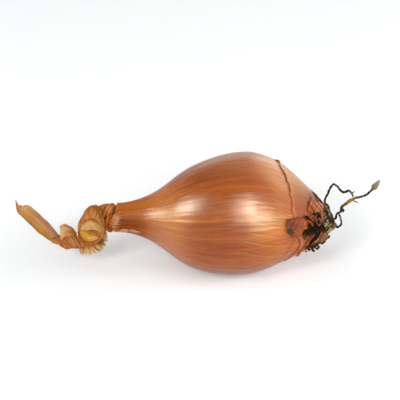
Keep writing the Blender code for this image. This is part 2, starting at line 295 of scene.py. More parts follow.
def bulb_material(name="bulb_skin", gloss=0.42, dull=0.0):
    k = Nodes(name)
    skin = k.attr("skin", vector=True)  # mm: round the bulb, and along it
    streak = k.noise(k.scaled(skin, (1.0, 1.0, 0.045)), 0.85, 4, 0.62)
    thread = k.noise(k.scaled(skin, (1.0, 1.0, 0.03)), 2.3, 4, 0.75)
    fine = k.noise(k.scaled(skin, (1.0, 1.0, 0.06)), 8.0, 2, 0.6)
    grain = k.noise(k.scaled(skin, (1.0, 1.0, 0.20)), 2.4, 3, 0.7)
    broad = k.noise(k.scaled(skin, (1.0, 1.0, 0.25)), 0.15, 2, 0.5)
    mottle = k.noise(k.scaled(skin, (1.0, 1.0, 0.5)), 0.9, 4, 0.65)
    tone = k.math("ADD", k.attr("tone"), k.map(broad, 0.3, 0.7, -0.12, 0.12))
    tone = k.math("ADD", tone, k.map(mottle, 0.3, 0.7, -0.08, 0.08))
    base = k.ramp(tone, [(0.0, srgb(108, 36, 0)), (0.3, srgb(130, 51, 0)), (0.65, srgb(155, 76, 7)), (1.0, srgb(180, 107, 26))])
    base = k.mix(k.map(streak, 0.50, 0.66, 0.0, 0.58), base, srgb(98, 34, 1))
    base = k.mix(k.map(streak, 0.46, 0.30, 0.0, 0.35), base, srgb(176, 104, 34))
    base = k.mix(k.map(thread, 0.54, 0.68, 0.0, 0.48), base, srgb(182, 110, 36))
    base = k.mix(k.map(thread, 0.46, 0.32, 0.0, 0.68), base, srgb(88, 30, 2))
    base = k.mix(k.map(fine, 0.56, 0.72, 0.0, 0.30), base, srgb(180, 114, 44))
    base = k.mix(k.map(fine, 0.44, 0.28, 0.0, 0.30), base, srgb(92, 34, 6))
    base = k.mix(k.map(grain, 0.56, 0.74, 0.0, 0.24), base, srgb(184, 116, 44))
    base = k.mix(k.map(grain, 0.44, 0.28, 0.0, 0.30), base, srgb(84, 30, 2))
    base = k.mix(k.attr("rosy"), base, srgb(170, 112, 78))
    base = k.mix(k.attr("pale"), base, srgb(202, 152, 96))
    base = k.mix(k.attr("dark"), base, srgb(88, 32, 6))
    bump = k.bump(thread, 0.38, 0.00015)
    bump = k.bump(fine, 0.22, 0.00006, bump)
    rough = k.map(streak, 0.3, 0.7, 0.22 + dull, 0.34 + dull)
    return k.set(
        Base_Color=base, Roughness=rough, Normal=bump, Specular_IOR_Level=gloss, Specular_Tint=(0.93, 1.0, 0.82)
    )


def base_skin_material():
    k = Nodes("base_skin")
    skin = k.attr("skin", vector=True)
    streak = k.noise(k.scaled(skin, (1.0, 1.0, 0.10)), 1.2, 4, 0.6)
    thread = k.noise(k.scaled(skin, (1.0, 1.0, 0.06)), 4.5, 3, 0.65)
    base = k.mix(k.attr("tone"), srgb(134, 60, 22), srgb(168, 126, 84))
    base = k.mix(k.map(streak, 0.50, 0.75, 0.0, 0.5), base, srgb(128, 62, 34))
    base = k.mix(k.map(thread, 0.55, 0.72, 0.0, 0.42), base, srgb(196, 152, 112))
    base = k.mix(k.attr("pale"), base, srgb(196, 140, 92))
    base = k.mix(k.attr("shade"), base, srgb(92, 38, 16))
    base = k.mix(k.attr("dark"), base, srgb(128, 46, 6))
    base = k.mix(k.attr("speck"), base, srgb(70, 30, 16))
    bump = k.bump(thread, 0.3, 0.00015)
    return k.set(Base_Color=base, Roughness=0.42, Normal=bump, Specular_IOR_Level=0.35, Specular_Tint=(1.0, 0.92, 0.72))


def floor_material():
    k = Nodes("studio_floor")
    soft = k.noise(k.coords(), 3.0, 2)
    col = k.ramp(soft, [(0.0, (0.83, 0.845, 0.852)), (1.0, (0.845, 0.86, 0.867))])
    return k.set(Base_Color=col, Roughness=0.9, Specular_IOR_Level=0.1)


# ===================================================================================== bulb
def around(deg, centre, width):
    """Soft window round the bulb, 1 at the centre, degrees."""
    d = (np.asarray(deg) - centre + 180) % 360 - 180
    return np.exp(-((d / width) ** 2))


def ridge(deg, x, path, width, taper=2.5):
    """Thin line along the bulb through (x, degrees) stations: 1 on the line, fading at both ends."""
    s = np.array(path, float)
    centre = np.interp(x, s[:, 0], s[:, 1])
    ends = smooth(s[0, 0], s[0, 0] + taper, x) * (1 - smooth(s[-1, 0] - taper, s[-1, 0], x))
    d = (deg - centre + 180) % 360 - 180
    return np.exp(-((d / width) ** 2)) * ends


CREASES = [  # (x, degrees) lines in the skin that fan out from the root end
    [(5, 62), (10, 66), (15, 70), (19, 70)], [(4, 47), (9, 52), (14, 60), (18, 62)], [(6, 70), (12, 76), (17, 80)],
    [(3, 78), (9, 84), (14, 90), (17, 94)], [(0, 84), (6, 91), (12, 99), (16, 104)], [(4, 55), (11, 58), (16, 66)],
    [(-2, 96), (4, 102), (10, 110), (15, 118)], [(8, 40), (12, 46), (17, 55)], [(9, 30), (13, 36), (16, 44)],
    [(5, 112), (10, 118), (14, 126)], [(3, 210), (9, 216), (15, 222)], [(0, 250), (7, 256), (13, 262)],
    [(6, 285), (11, 290), (14, 296)], [(4, 172), (10, 180), (14, 188)], [(7, 330), (11, 334), (13, 336)],
]


def build_bulb():
    cols, rows = 360, 260
    t = np.linspace(0, 1, rows)
    phi = np.linspace(0, 2 * math.pi, cols, endpoint=False)[None, :]
    deg = np.degrees(phi)
    x = (-35.2 + 61.4 * t)[:, None]
    p = bulb_point(x, phi)
    n = bulb_normal(x, phi)
    # the skin runs on a little over the neck, to a slanting pinch
    end = smooth(-32.5, -35.2, x)
    slant = 0.5 + 1.1 * (0.5 - 0.5 * np.cos(phi + math.radians(30))) + 0.10 * np.sin(7 * phi) + 0.08 * np.sin(17 * phi + 1)
    p[..., 0] -= slant * end
    r = spline(BULB_PROFILE, x)[..., 0]
    neck = 1 - smooth(-33, -20, x)
    wrinkle = 0.030 * waves(phi, x, range(26, 90, 5), 3, 0.02) * (0.35 + 0.65 * smooth(6, 14, r))
    folds = 0.11 * waves(phi, x, (5, 7, 9, 13, 17, 22), 8, 0.03) * neck
    slow = 0.11 * waves(phi, x, (3, 4, 6, 9), 12, 0.02) * (1 - neck)
    lines = sum(ridge(deg, x, c, 0.6 if i % 2 else 0.9) for i, c in enumerate(CREASES))
    hollows = sum(ridge(deg + 1.3, x, c, 0.8) for c in CREASES)
    d = wrinkle + folds + slow + 0.012 * lines - 0.022 * hollows
    d = d + 0.10 * smooth(-34.0, -34.8, x) - 0.9 * smooth(-34.85, -35.2, x)
    p = p + n * d[..., None]
    p[..., 2] = np.maximum(p[..., 2], SETTLE)
    golden = 0.30 * smooth(7, 15, x) * (0.45 + 0.55 * around(deg, 80, 42))
    # the golden patches at x 9.5, x -20 and x 5 sit where the lights' gloss falls on the shoulders: partly the skin's
    # own golden colour, partly a painted highlight
    golden = golden + 0.45 * np.exp(-(((x - 9.5) / 5) ** 2)) * around(deg, 76, 26)
    golden = golden + 0.32 * np.exp(-(((x + 20) / 7) ** 2)) * (0.35 + 0.65 * around(deg, 55, 30))
    golden = golden + 0.12 * np.exp(-(((x - 5) / 7) ** 2)) * around(deg, 60, 25)
    drift = fbm(p * np.array([0.4, 1, 1]), 0.16, 5)
    on_neck = 1 - smooth(-31, -24, x)
    # this term lightens the top of the neck and the left shoulder: painted light from above on the left
    golden = golden + 0.46 * (1 - smooth(-24, -12, x)) * around(deg, 10, 40)
    # the -0.26 * on_neck term darkens the front of the neck: painted shade against the gloss that the lights leave
    # there
    tone = np.clip(0.28 + golden + 0.10 * drift - 0.16 * smooth(-2, 8, x) * around(deg, 22, 26) - 0.26 * on_neck * around(deg, 80, 30), 0, 1)
    rosy = 0.75 * smooth(2, 12, x) * around(deg, 0, 32) + 0.45 * around(deg, -12, 24) * smooth(-20, -6, x)
    rosy = rosy + 0.42 * np.exp(-(((x + 21) / 5) ** 2)) * around(deg, 112, 24) + 0.08 * smooth(-6, 8, x) * around(deg, 125, 25)
    rosy = rosy + 0.55 * smooth(8, 14, x) * around(deg, 26, 26) + 0.30 * smooth(-12, 2, x) * around(deg, 8, 20)
    rosy = np.clip(rosy * (0.9 + 0.3 * drift), 0, 0.88)
    # pale on the crease ridges (0.22 * lines) is painted light on the creases; their hollows get painted shade in dark
    # below
    pale = np.clip(0.22 * lines, 0, 1) + 0.20 * smooth(6, 12, x) * around(deg, -10, 26)
    pale = pale + 0.10 * smooth(-30, -22, x) * (1 - smooth(-18, -10, x)) * around(deg, 95, 55)
    # a faint pale band along the top: painted reflection of the bright backdrop
    pale = pale + 0.06 * smooth(-5, 6, x) * around(deg, 6, 20)
    # pale streaks on both shoulders where the lights' gloss falls: partly the skin's own pale fibres, partly painted
    # highlight streaks
    pale_fibres_and_sheen = 0.5 + 0.5 * np.tanh(2.5 * waves(phi, x, range(30, 120, 7), 17, 0.015))
    pale = pale + 0.34 * np.exp(-(((x - 8.5) / 6) ** 2)) * around(deg, 74, 15) * pale_fibres_and_sheen
    pale = pale + 0.22 * np.exp(-(((x + 19) / 6) ** 2)) * around(deg, 70, 22) * pale_fibres_and_sheen
    # dark: painted shade in the crease hollows, painted shade on the front of the neck against its gloss, and painted
    # shade on the root end under the plate and shreds
    dark = np.clip(0.45 * hollows + 0.24 * on_neck * around(deg, 84, 26), 0, 0.55) + 0.4 * smooth(24.3, 25.8, x)
    # darker along the bottom edge from the belly to the root end: painted shade that offsets the floor's reflection
    # there
    dark = np.clip(dark + 0.32 * smooth(-4, 8, x) * around(deg, 148, 18), 0, 0.95)
    skin = np.stack([18 * np.cos(phi) + 0 * x, 18 * np.sin(phi) + 0 * x, x + 0 * phi], -1)
    verts, faces = closed_loft(p)
    ends = lambda v: np.concatenate([np.broadcast_to(v, p.shape[:2]).ravel(), [0.2, 0.2]])
    skin = np.concatenate([skin.reshape(-1, 3), skin[:1, 0], skin[-1:, 0]])
    bulb = make(
        "bulb_visual", verts, faces, bulb_material(), ["bulb"],
        {"skin": skin, "tone": ends(tone), "rosy": ends(rosy), "pale": ends(pale), "dark": ends(dark)},
    )
    # the skin dries out towards the neck: the gloss ends there in fingers along its fibres
    bulb.data.materials.append(bulb_material("bulb_skin_dry", 0.12, 0.14))
    n = len(bulb.data.polygons)
    middle = np.empty(3 * n)
    bulb.data.polygons.foreach_get("center", middle)
    middle = middle.reshape(-1, 3) / MM
    axis = spline(BULB_AXIS, middle[:, 0])
    around_it = np.arctan2(axis[:, 0] - middle[:, 1], middle[:, 2] + SETTLE - axis[:, 1])
    fingers = sum(math.sin(2.1 * q) * 0.5 + np.sin(q * around_it + 3 * q) for q in (17, 29, 43, 61, 83)) * 0.75
    dry = (middle[:, 0] < -25.2 + fingers).astype(np.int32)
    bulb.data.polygons.foreach_set("material_index", dry)
    bulb.data.update()
    return bulb


def build_base_skin():
    cols, rows = 480, 60
    deg = np.linspace(-45, 315, cols, endpoint=False)
    edge = np.array(TORN_EDGE, float)
    wrapped = np.vstack([edge[-3:] - [360, 0], edge, edge[:3] + [360, 0]])
    ex = spline(wrapped, deg)[:, 0]
    a = np.radians(deg)
    ex = ex + 0.10 * np.sin(37 * a + 1) + 0.08 * np.sin(61 * a) + 0.06 * np.sin(97 * a + 2) + 0.13 * np.sin(19 * a)
    t = np.linspace(0, 1, rows)[:, None] ** 1.4
    x = ex[None, :] * (1 - t) + SKIN_ROOT_X * t
    phi = np.broadcast_to(a, x.shape)
    off = 0.22 + 0.05 * waves(phi, x, range(12, 70, 5), 21, 0.03)
    nrm = bulb_normal(x, phi)
    base = bulb_point(x, phi)
    outer = base + nrm * off[..., None]
    inner = base + nrm * (off - 0.10 - 0.25 * np.exp(-t * 60))[..., None]
    rings = np.concatenate([outer, inner[::-1]])
    skin = np.stack([18 * np.cos(phi), 18 * np.sin(phi), x], -1)
    skin = np.concatenate([skin, skin[::-1]])
    n = rings.shape[0]
    faces = grid_faces(n, cols, wrap=True)
    for c in range(cols):
        d = (c + 1) % cols
        faces.append(((n - 1) * cols + c, (n - 1) * cols + d, d, c))
    back = lambda v: np.concatenate([v, v[::-1]]).ravel()
    from_edge = (x - ex[None, :])
    # dark along the torn edge: partly the edge's own darker colour, partly a painted shadow line under the lifted edge,
    # strongest at the top; the pale band just inside it is a painted highlight on the lifted edge
    dark = np.exp(-((from_edge / 0.27) ** 4)) * (0.85 + 0.15 * np.sin(9 * phi) * np.sin(23 * phi)) * (0.45 + 0.55 * around(deg, 2, 34))[None, :]
    pale = 0.30 * np.exp(-(((from_edge - 0.62) / 0.22) ** 2))
    tone = np.clip(around(deg, -8, 36)[None, :] + 0.12 * fbm(base, 0.5, 3), 0, 1) * np.ones_like(x)
    shade = 0.42 * smooth(15.0, 20.0, x) * around(deg, 35, 50)[None, :] + 0.30 * smooth(19.5, 22.5, x)
    shade = np.clip(shade + 0.5 * smooth(23.2, 25.4, x), 0, 0.95)
    speck = np.zeros_like(x)
    for sx, sd, size in [(16.1, -8, 0.26), (17.3, -15, 0.20), (16.4, 4, 0.10), (16.0, 27, 0.14), (17.9, 12, 0.12), (17.0, 205, 0.3), (19.2, 260, 0.25)]:
        gap = np.hypot(x - sx, np.radians(deg - sd) * 12)
        speck = np.maximum(speck, np.exp(-((gap / size) ** 2)))
    return make(
        "base_skin_visual", rings.reshape(-1, 3), faces, base_skin_material(), ["base_skin"],
        {"skin": skin.reshape(-1, 3), "pale": back(pale), "dark": back(dark), "tone": back(tone), "shade": back(shade), "speck": back(speck)},
    )


# ============================================================== pieces laid out across the object
# The dried leaves lean 60 degrees: u runs along X, v up the lean, d out of it.
UP = np.array([0, 0.5, math.sqrt(3) / 2])
OUT = np.array([0, -math.sqrt(3) / 2, 0.5])


def lean(u, v, d):
    u, v, d = np.broadcast_arrays(np.asarray(u, float), np.asarray(v, float), np.asarray(d, float))
    return np.stack([u, 0 * u, 0 * u], -1) + v[..., None] * UP + d[..., None] * OUT


def closed_curve(points, n):
    """Smooth closed outline through the points, n points evenly spaced along it."""
    q = np.array(points, float)
    wrapped = np.vstack([q[-2:], q, q[:3]])
    length = np.r_[0, np.cumsum(np.linalg.norm(np.diff(wrapped, axis=0), axis=1))]
    start, end = length[2], length[len(q) + 2]
    return spline(np.c_[length, wrapped], np.linspace(start, end, n, endpoint=False))


def ragged(outline, amount, seed, counts=(9, 14, 23, 37, 58), where=None):
    """Moves an outline in and out, mm, so that it looks torn."""
    r = np.random.default_rng(seed)
    t = np.linspace(0, 2 * math.pi, len(outline), endpoint=False)
    tangent = np.roll(outline, -1, 0) - np.roll(outline, 1, 0)
    normal = np.stack([tangent[:, 1], -tangent[:, 0]], -1)
    normal /= np.linalg.norm(normal, axis=1, keepdims=True) + 1e-9
    move = sum(np.cos(m * t + r.uniform(0, 6.28)) / (i + 1) ** 0.6 for i, m in enumerate(counts)) / 2
    move = move + 0.8 * np.abs(((t * 7.3 + r.uniform(0, 1)) % 1) - 0.5)
    if where is not None:
        move = move * where(t)
    return outline + normal * move[:, None] * amount


def patch(outline, rings=16, thick=0.12, height=None, centre=None, place=lean, depth=0.0):
    """Thin closed sheet inside an outline. height(u, v, s) is its relief, s goes from 0 in the middle to 1 at the rim."""
    centre = np.asarray(outline.mean(0) if centre is None else centre)
    s = np.linspace(0.02, 1, rings) ** 0.8
    uv = centre + (outline - centre)[None] * s[:, None, None]
    u, v = uv[..., 0], uv[..., 1]
    level = depth + (height(u, v, s[:, None] * np.ones_like(u)) if height else 0 * u)
    rim = np.sqrt(np.clip(1 - s**6, 0.0, 1))[:, None]
    front, back = place(u, v, level + thick * 0.5 * rim), place(u, v, level - thick * 0.5 * rim - 0.02)
    verts, faces = closed_loft(np.concatenate([front, back[::-1]]))
    both = lambda a: np.concatenate([a.ravel(), a[::-1].ravel(), [a[0].mean(), a[0].mean()]])
    return verts, faces, u, v, s[:, None] * np.ones_like(u), both


def tube(stations, sides=20, steps=60, flat=OUT, relief=None, shift=None, wobble=0.0, seed=1, rounded=1.0):
    """Closed oval tube through (u, v, d, half width, half thickness) stations."""
    q = np.array(stations, float)
    p = lean(q[:, 0], q[:, 1], q[:, 2])
    length = np.r_[0, np.cumsum(np.linalg.norm(np.diff(p, axis=0), axis=1))]
    at = np.linspace(0, length[-1], steps)
    m = spline(np.c_[length, p, q[:, 3:]], at)
    middle = m[:, :3]
    if wobble:
        r = np.random.default_rng(seed)
        for f in (1.1, 2.3, 4.1):
            middle = middle + wobble / f * np.sin(at[:, None] * f + r.uniform(0, 6.28, 3))
    tangent = np.gradient(middle, at, axis=0)
    tangent /= np.linalg.norm(tangent, axis=1, keepdims=True)
    wide = np.cross(np.broadcast_to(flat, tangent.shape), tangent)
    wide /= np.linalg.norm(wide, axis=1, keepdims=True)
    thick = np.cross(tangent, wide)
    a = np.linspace(0, 2 * math.pi, sides, endpoint=False)[None, :]
    grid = at[:, None] + 0 * a
    k = 1 + (relief(a, grid) if relief else 0)
    rings = (
        middle[:, None]
        + wide[:, None] * (np.cos(a) * k * m[:, 3:4])[..., None]
        + thick[:, None] * (np.sign(np.sin(a)) * np.abs(np.sin(a)) ** rounded * k * m[:, 4:5])[..., None]
    )
    if shift is not None:
        rings = rings + tangent[:, None] * shift(np.cos(a) + 0 * grid, grid / at[-1])[..., None]
    verts, faces = closed_loft(rings)
    both = lambda v: np.concatenate([(v + 0 * grid).ravel(), [np.mean(v), np.mean(v)]])
    fib = np.stack([both(a * m[:, 3:4] * 0.9), both(grid), both(0 * grid)], -1)
    return verts, faces, a + 0 * grid, grid / at[-1], both, fib


def join(parts):
    """Several (verts, faces, attributes) as one mesh."""
    verts, faces, attrs, base = [], [], {}, 0
    for v, f, at in parts:
        verts.append(v)
        faces += [tuple(i + base for i in q) for q in f]
        for key, value in at.items():
            attrs.setdefault(key, []).append(value)
        base += len(v)
    return np.concatenate(verts), faces, {k: np.concatenate(v) for k, v in attrs.items()}


def leaf_material(name, light, mid, deep, rough=0.5, fibre=1.0, spec=0.35, relief=0.3, line=0.5):
    k = Nodes(name)
    fib = k.attr("fib", vector=True)
    band = k.noise(k.scaled(fib, (1.0, 0.07, 1.0)), 1.3 * fibre, 4, 0.6)
    thread = k.noise(k.scaled(fib, (1.0, 0.035, 1.0)), 4.5 * fibre, 3, 0.7)
    blotch = k.noise(k.scaled(k.coords(), (1000, 1000, 1000)), 0.55, 4, 0.6)
    tone = k.math("ADD", k.attr("tone"), k.map(band, 0.3, 0.7, -0.22, 0.22))
    tone = k.math("ADD", tone, k.map(blotch, 0.3, 0.7, -0.12, 0.12))
    base = k.ramp(tone, [(0.0, deep), (0.5, mid), (1.0, light)])
    base = k.mix(k.map(thread, 0.56, 0.72, 0.0, line), base, light)
    base = k.mix(k.map(thread, 0.44, 0.28, 0.0, line), base, deep)
    base = k.mix(k.attr("warm"), base, lit(196, 100, 36))
    base = k.mix(k.attr("dark"), base, lit(104, 44, 12))
    bump = k.bump(thread, relief, 0.0002)
    bump = k.bump(band, relief, 0.0003, bump)
    return k.set(Base_Color=base, Roughness=rough, Normal=bump, Specular_IOR_Level=spec * 0.45, Specular_Tint=(1.0, 0.90, 0.70))


# =============================================================================== dried leaves
OUTLINE_CURL = [(-42.4, 18.2), (-43.6, 18.0), (-44.6, 17.3), (-46.0, 15.1), (-47.2, 12.9), (-47.4, 11.3), (-47.2, 9.8), (-46.7, 8.1), (-45.8, 6.9), (-44.4, 6.4), (-42.8, 6.4), (-41.1, 7.3), (-39.8, 8.9), (-39.1, 10.9), (-39.4, 12.7), (-40.0, 14.3), (-40.7, 16.1), (-41.4, 17.6)]
MID_CURL = (-43.3, 10.3)
OUTLINE_AMBER = [(-47.0, 10.6), (-45.8, 10.7), (-44.5, 10.5), (-43.4, 10.0), (-42.0, 9.4), (-40.9, 8.8), (-40.6, 8.1), (-41.3, 7.1), (-42.5, 6.7), (-44.1, 6.7), (-45.6, 7.2), (-46.7, 8.5)]
SLIT_PATH = [(-44.0, 10.6, 8.45, 0.12, 0.12), (-43.4, 10.4, 8.6, 0.3, 0.22), (-42.4, 10.3, 8.7, 0.38, 0.25), (-41.5, 10.0, 8.7, 0.4, 0.25), (-40.9, 9.2, 8.6, 0.32, 0.22), (-40.6, 8.3, 8.5, 0.15, 0.15)]
RIM_PATH = [(-47.1, 10.3, 8.2, 0.25, 0.3), (-46.7, 8.7, 8.4, 0.4, 0.4), (-45.7, 7.3, 8.5, 0.45, 0.45), (-44.2, 6.7, 8.5, 0.5, 0.45), (-42.5, 6.7, 8.5, 0.5, 0.45), (-41.1, 7.5, 8.5, 0.45, 0.4), (-40.0, 8.9, 8.4, 0.4, 0.35), (-39.3, 10.6, 8.2, 0.3, 0.3)]
RIM_PATH_2 = [(-44.5, 13.7, 8.4, 0.15, 0.2), (-43.4, 13.9, 8.7, 0.3, 0.3), (-42.0, 13.6, 8.8, 0.35, 0.3), (-40.7, 12.7, 8.7, 0.35, 0.3), (-39.9, 11.3, 8.5, 0.3, 0.3), (-39.7, 9.8, 8.3, 0.2, 0.2)]
FOLD_PATH = [(-42.1, 18.35, 7.3, 0.12, 0.3), (-41.35, 17.6, 7.2, 0.34, 0.6), (-40.6, 16.0, 7.2, 0.42, 0.7), (-39.9, 14.3, 7.2, 0.42, 0.7), (-39.3, 12.6, 7.2, 0.40, 0.6), (-39.0, 11.0, 7.2, 0.30, 0.5), (-39.3, 9.6, 7.2, 0.16, 0.3)]
FRAY_INNER = [(-46.9, 7.8), (-46.0, 7.0), (-44.7, 6.6), (-43.2, 6.7), (-41.7, 7.4), (-40.4, 8.8), (-39.4, 10.3)]
FRAY_OUTER = [(-47.3, 5.2), (-46.6, 3.1), (-45.3, 2.8), (-43.9, 2.9), (-42.8, 3.3), (-41.2, 3.8), (-39.8, 4.3), (-38.9, 5.8), (-38.3, 7.3), (-38.4, 8.8), (-38.8, 10.1)]
TUBE_SIDE = 1.0
TIP_TUBE = [(-63.0, 16.7, 1.95, 0.75), (-62.2, 15.8, 2.0, 0.8), (-61.0, 14.7, 2.05, 0.8), (-59.7, 13.4, 2.08, 0.8), (-58.0, 11.7, 2.08, 0.8), (-56.5, 10.3, 1.95, 0.75), (-55.4, 9.2, 1.7, 0.7), (-54.1, 8.2, 1.4, 0.6), (-52.8, 7.3, 1.3, 0.5)]
SPIKES = [
    ([(-64.0, 15.4, 0.55, 0.35), (-64.6, 16.5, 0.75, 0.3), (-65.0, 17.6, 0.55, 0.25), (-65.3, 18.5, 0.36, 0.2), (-65.5, 19.2, 0.2, 0.15), (-65.6, 19.9, 0.06, 0.06)], 0.55, 0.15),
    ([(-63.4, 16.4, 0.5, 0.3), (-64.0, 17.4, 0.55, 0.25), (-64.3, 18.0, 0.32, 0.2), (-64.4, 18.3, 0.08, 0.1)], 0.75, 0.0),
]
OUTLINE_PANEL = [(-55.6, 7.6), (-55.0, 8.5), (-54.0, 8.7), (-52.5, 8.6), (-50.7, 9.0), (-48.9, 9.2), (-47.5, 8.9), (-46.4, 7.8), (-45.4, 6.4), (-45.6, 5.3), (-47.2, 5.1), (-49.2, 5.1), (-50.9, 4.9), (-52.2, 5.4), (-53.2, 6.3), (-54.6, 6.6)]
OUTLINE_FLAP = [(-52.8, 8.8), (-52.6, 10.0), (-52.7, 11.1), (-52.8, 11.8), (-52.3, 12.2), (-51.4, 12.6), (-50.5, 12.3), (-49.4, 11.7), (-48.5, 10.9), (-47.9, 10.0), (-47.6, 8.8), (-47.9, 7.6), (-49.0, 7.6), (-50.0, 8.5), (-50.9, 8.7), (-51.8, 8.1), (-52.4, 7.7)]
NECK_STRANDS = [
    ([(-37.3, 18.3, 0.35), (-38.2, 17.2, 0.45), (-39.1, 15.8, 0.45), (-39.7, 14.3, 0.35), (-39.8, 13.0, 0.2)], 0.9, 0.0),
    ([(-36.1, 18.1, 0.3), (-37.0, 17.3, 0.5), (-37.7, 16.1, 0.45), (-38.2, 14.8, 0.3)], 0.8, 0.1),
    ([(-39.1, 18.1, 0.25), (-40.0, 17.1, 0.4), (-40.4, 16.0, 0.4), (-40.6, 14.7, 0.25)], 0.6, 0.2),
    ([(-37.6, 14.9, 0.25), (-38.2, 13.8, 0.4), (-38.5, 12.4, 0.4), (-38.3, 11.1, 0.25)], 0.5, 0.3),
    ([(-39.3, 12.6, 0.2), (-38.9, 11.6, 0.35), (-38.1, 10.8, 0.35), (-36.8, 10.3, 0.2)], 0.75, 0.1),
    ([(-36.7, 14.1, 0.2), (-37.3, 12.8, 0.35), (-37.3, 11.6, 0.35), (-36.9, 10.6, 0.2)], 0.45, 0.35),
]
NECK_PATCHES = [  # outline, tone, warm, how ragged
    ([(-36.5, 15.1), (-35.9, 15.7), (-35.2, 15.4), (-34.7, 14.6), (-34.7, 13.7), (-35.1, 12.7), (-35.9, 11.8), (-36.6, 11.3), (-36.8, 13.2)], 0.62, 0.30, 0.16),
    ([(-36.8, 10.6), (-35.4, 10.8), (-34.2, 10.9), (-33.0, 11.1), (-31.8, 10.7), (-32.4, 10.2), (-33.9, 10.1), (-35.5, 10.1)], 0.95, 0.0, 0.14),
    ([(-31.9, 10.6), (-30.9, 11.0), (-29.4, 10.6), (-28.1, 10.1), (-29.5, 10.0), (-31.0, 10.2)], 0.85, 0.1, 0.12),
]

CURL_D = 7.2
BEIGE, TAN, BROWN = lit(234, 186, 116), lit(208, 134, 62), lit(160, 82, 28)


def build_curl():
    outer = closed_curve(OUTLINE_CURL, 160)
    mid_u, mid_v = MID_CURL
    th = np.arctan2(outer[:, 1] - mid_v, outer[:, 0] - mid_u)
    inner = np.stack([mid_u + 3.65 * np.cos(th), mid_v + 3.45 * np.sin(th)], -1)
    inner = inner + 0.10 * np.stack([np.cos(th), np.sin(th)], -1) * (np.cos(13 * th) + np.cos(7 * th + 1))[:, None]
    reach = np.hypot(*(outer - [mid_u, mid_v]).T)
    inner_r = np.hypot(*(inner - [mid_u, mid_v]).T)
    inner = np.where((inner_r > reach * 0.93)[:, None], [mid_u, mid_v] + (outer - [mid_u, mid_v]) * 0.93, inner)
    top = np.clip(np.sin(th), 0, 1)
    rows, zones = [], []
    for s, d in ((0.05, -1.9), (0.45, -1.9), (0.8, -1.6), (0.95, -1.1)):
        rows.append(([mid_u, mid_v] + (outer - [mid_u, mid_v]) * s, d + 0 * th))
        zones.append(0)
    for m, d in ((0.0, -0.4), (0.03, 0.1), (0.10, 0.5), (0.2, 0.85), (0.32, 1.1), (0.45, 1.25), (0.58, 1.35), (0.7, 1.42), (0.82, 1.45), (0.92, 1.4), (1.0, 1.25)):
        pleat = (0.20 * np.cos(17 * th + 1.3) + 0.13 * np.cos(29 * th) + 0.10 * np.cos(41 * th + 2)) * (0.25 + 0.75 * top)
        window = np.sin(math.pi * min(m * 0.8 + 0.12, 1.0))
        rows.append((outer * (1 - m) + inner * m, d + pleat * window))
        zones.append(0)
    for s, d in ((0.985, 1.0), (0.96, 0.7), (0.9, 0.45), (0.8, 0.34), (0.66, 0.32), (0.5, 0.3), (0.3, 0.28), (0.1, 0.28), (0.03, 0.28)):
        ripple = 0.04 * np.cos(5 * th + 6 * s) + 0.012 * np.cos(21 * th)
        rows.append(([mid_u, mid_v] + (inner - [mid_u, mid_v]) * s, d + ripple * min(1, s * 2)))
        zones.append(1)
    rings = np.array([lean(q[:, 0], q[:, 1], CURL_D + d) for q, d in rows])
    verts, faces = closed_loft(rings)
    n, c = rings.shape[:2]
    zone = np.repeat(zones, c).astype(float)
    across = np.where(zone > 0, np.concatenate([q[:, 0] * 0.8 + q[:, 1] * 0.5 for q, _ in rows]), np.tile(th * 5.0, n))
    along = np.concatenate([np.hypot(*(q - [mid_u, mid_v]).T) for q, _ in rows])
    pad = lambda v: np.r_[v, v[0], v[-1]]
    fib = np.stack([pad(across), pad(along), pad(0 * along)], -1)
    away = np.tile(np.hypot(*(outer - [mid_u, mid_v]).T), n)
    q = along / away
    tone = np.where(zone > 0, 0.84, 0.52 + 0.25 * smooth(0.0, 0.8, np.tile(np.cos(th), n)) - 0.20 * smooth(0.75, 1.0, q) * np.tile(top, n))
    warm = np.where(zone > 0, 0.0, 0.45 * smooth(0.6, 1.0, q) * np.tile(top, n) + 0.12)
    dark = np.where(zone > 0, 0.0, 0.25 * np.exp(-(((q - 1.0) / 0.04) ** 2)))
    make(
        "leaf_curl_pouch", verts, faces, leaf_material("leaf_pouch", BEIGE, TAN, BROWN), ["leaf_curl"],
        {"fib": fib, "tone": pad(tone), "warm": pad(warm), "dark": pad(dark)},
    )

    amber = ragged(closed_curve(OUTLINE_AMBER, 120), 0.05, 4)
    dome = lambda u, v, s: 0.75 * (1 - s**2.4) + 0.05 * np.sin(2.2 * u + 1.3 * v)
    verts, faces, u, v, s, both = patch(amber, 18, 0.25, dome, depth=CURL_D + 0.62)
    fib = np.stack([both(v * 0.6 + u * 0.4), both(u), both(0 * u)], -1)
    tone = both(np.clip(0.62 + 0.25 * s + 0.06 * (v - 9), 0, 1))
    make(
        "leaf_curl_amber", verts, faces,
        leaf_material("leaf_amber", lit(228, 168, 74), lit(214, 144, 50), lit(180, 106, 28), 0.42, 1.2, 0.32, 0.25, 0.35),
        ["leaf_curl"],
        {"fib": fib, "tone": tone, "warm": both(0.15 * smooth(0.85, 1, s)), "dark": both(0.08 * smooth(0.93, 1, s))},
    )

    parts = []
    for path, tone, warm, dark in (
        (SLIT_PATH, 0.35, 0.65, 0.15),
        (RIM_PATH, 0.35, 0.35, 0.1),
        (RIM_PATH_2, 0.55, 0.25, 0.0),
        (FOLD_PATH, 0.60, 0.20, 0.0),
    ):
        verts, faces, a, along, both, fib = tube(path, 12, 60, relief=lambda a, g: 0.12 * np.cos(3 * a + g) + 0.10 * np.cos(2.5 * g), wobble=0.05)
        parts.append((verts, faces, {"fib": fib, "tone": both(tone + 0 * a), "warm": both(warm + 0 * a), "dark": both(dark * (0.6 + 0.4 * np.cos(a)))}))
    verts, faces, attrs = join(parts)
    make("leaf_curl_rim", verts, faces, leaf_material("leaf_rim", lit(216, 156, 90), lit(182, 106, 40), lit(140, 66, 16), 0.45), ["leaf_curl"], attrs)


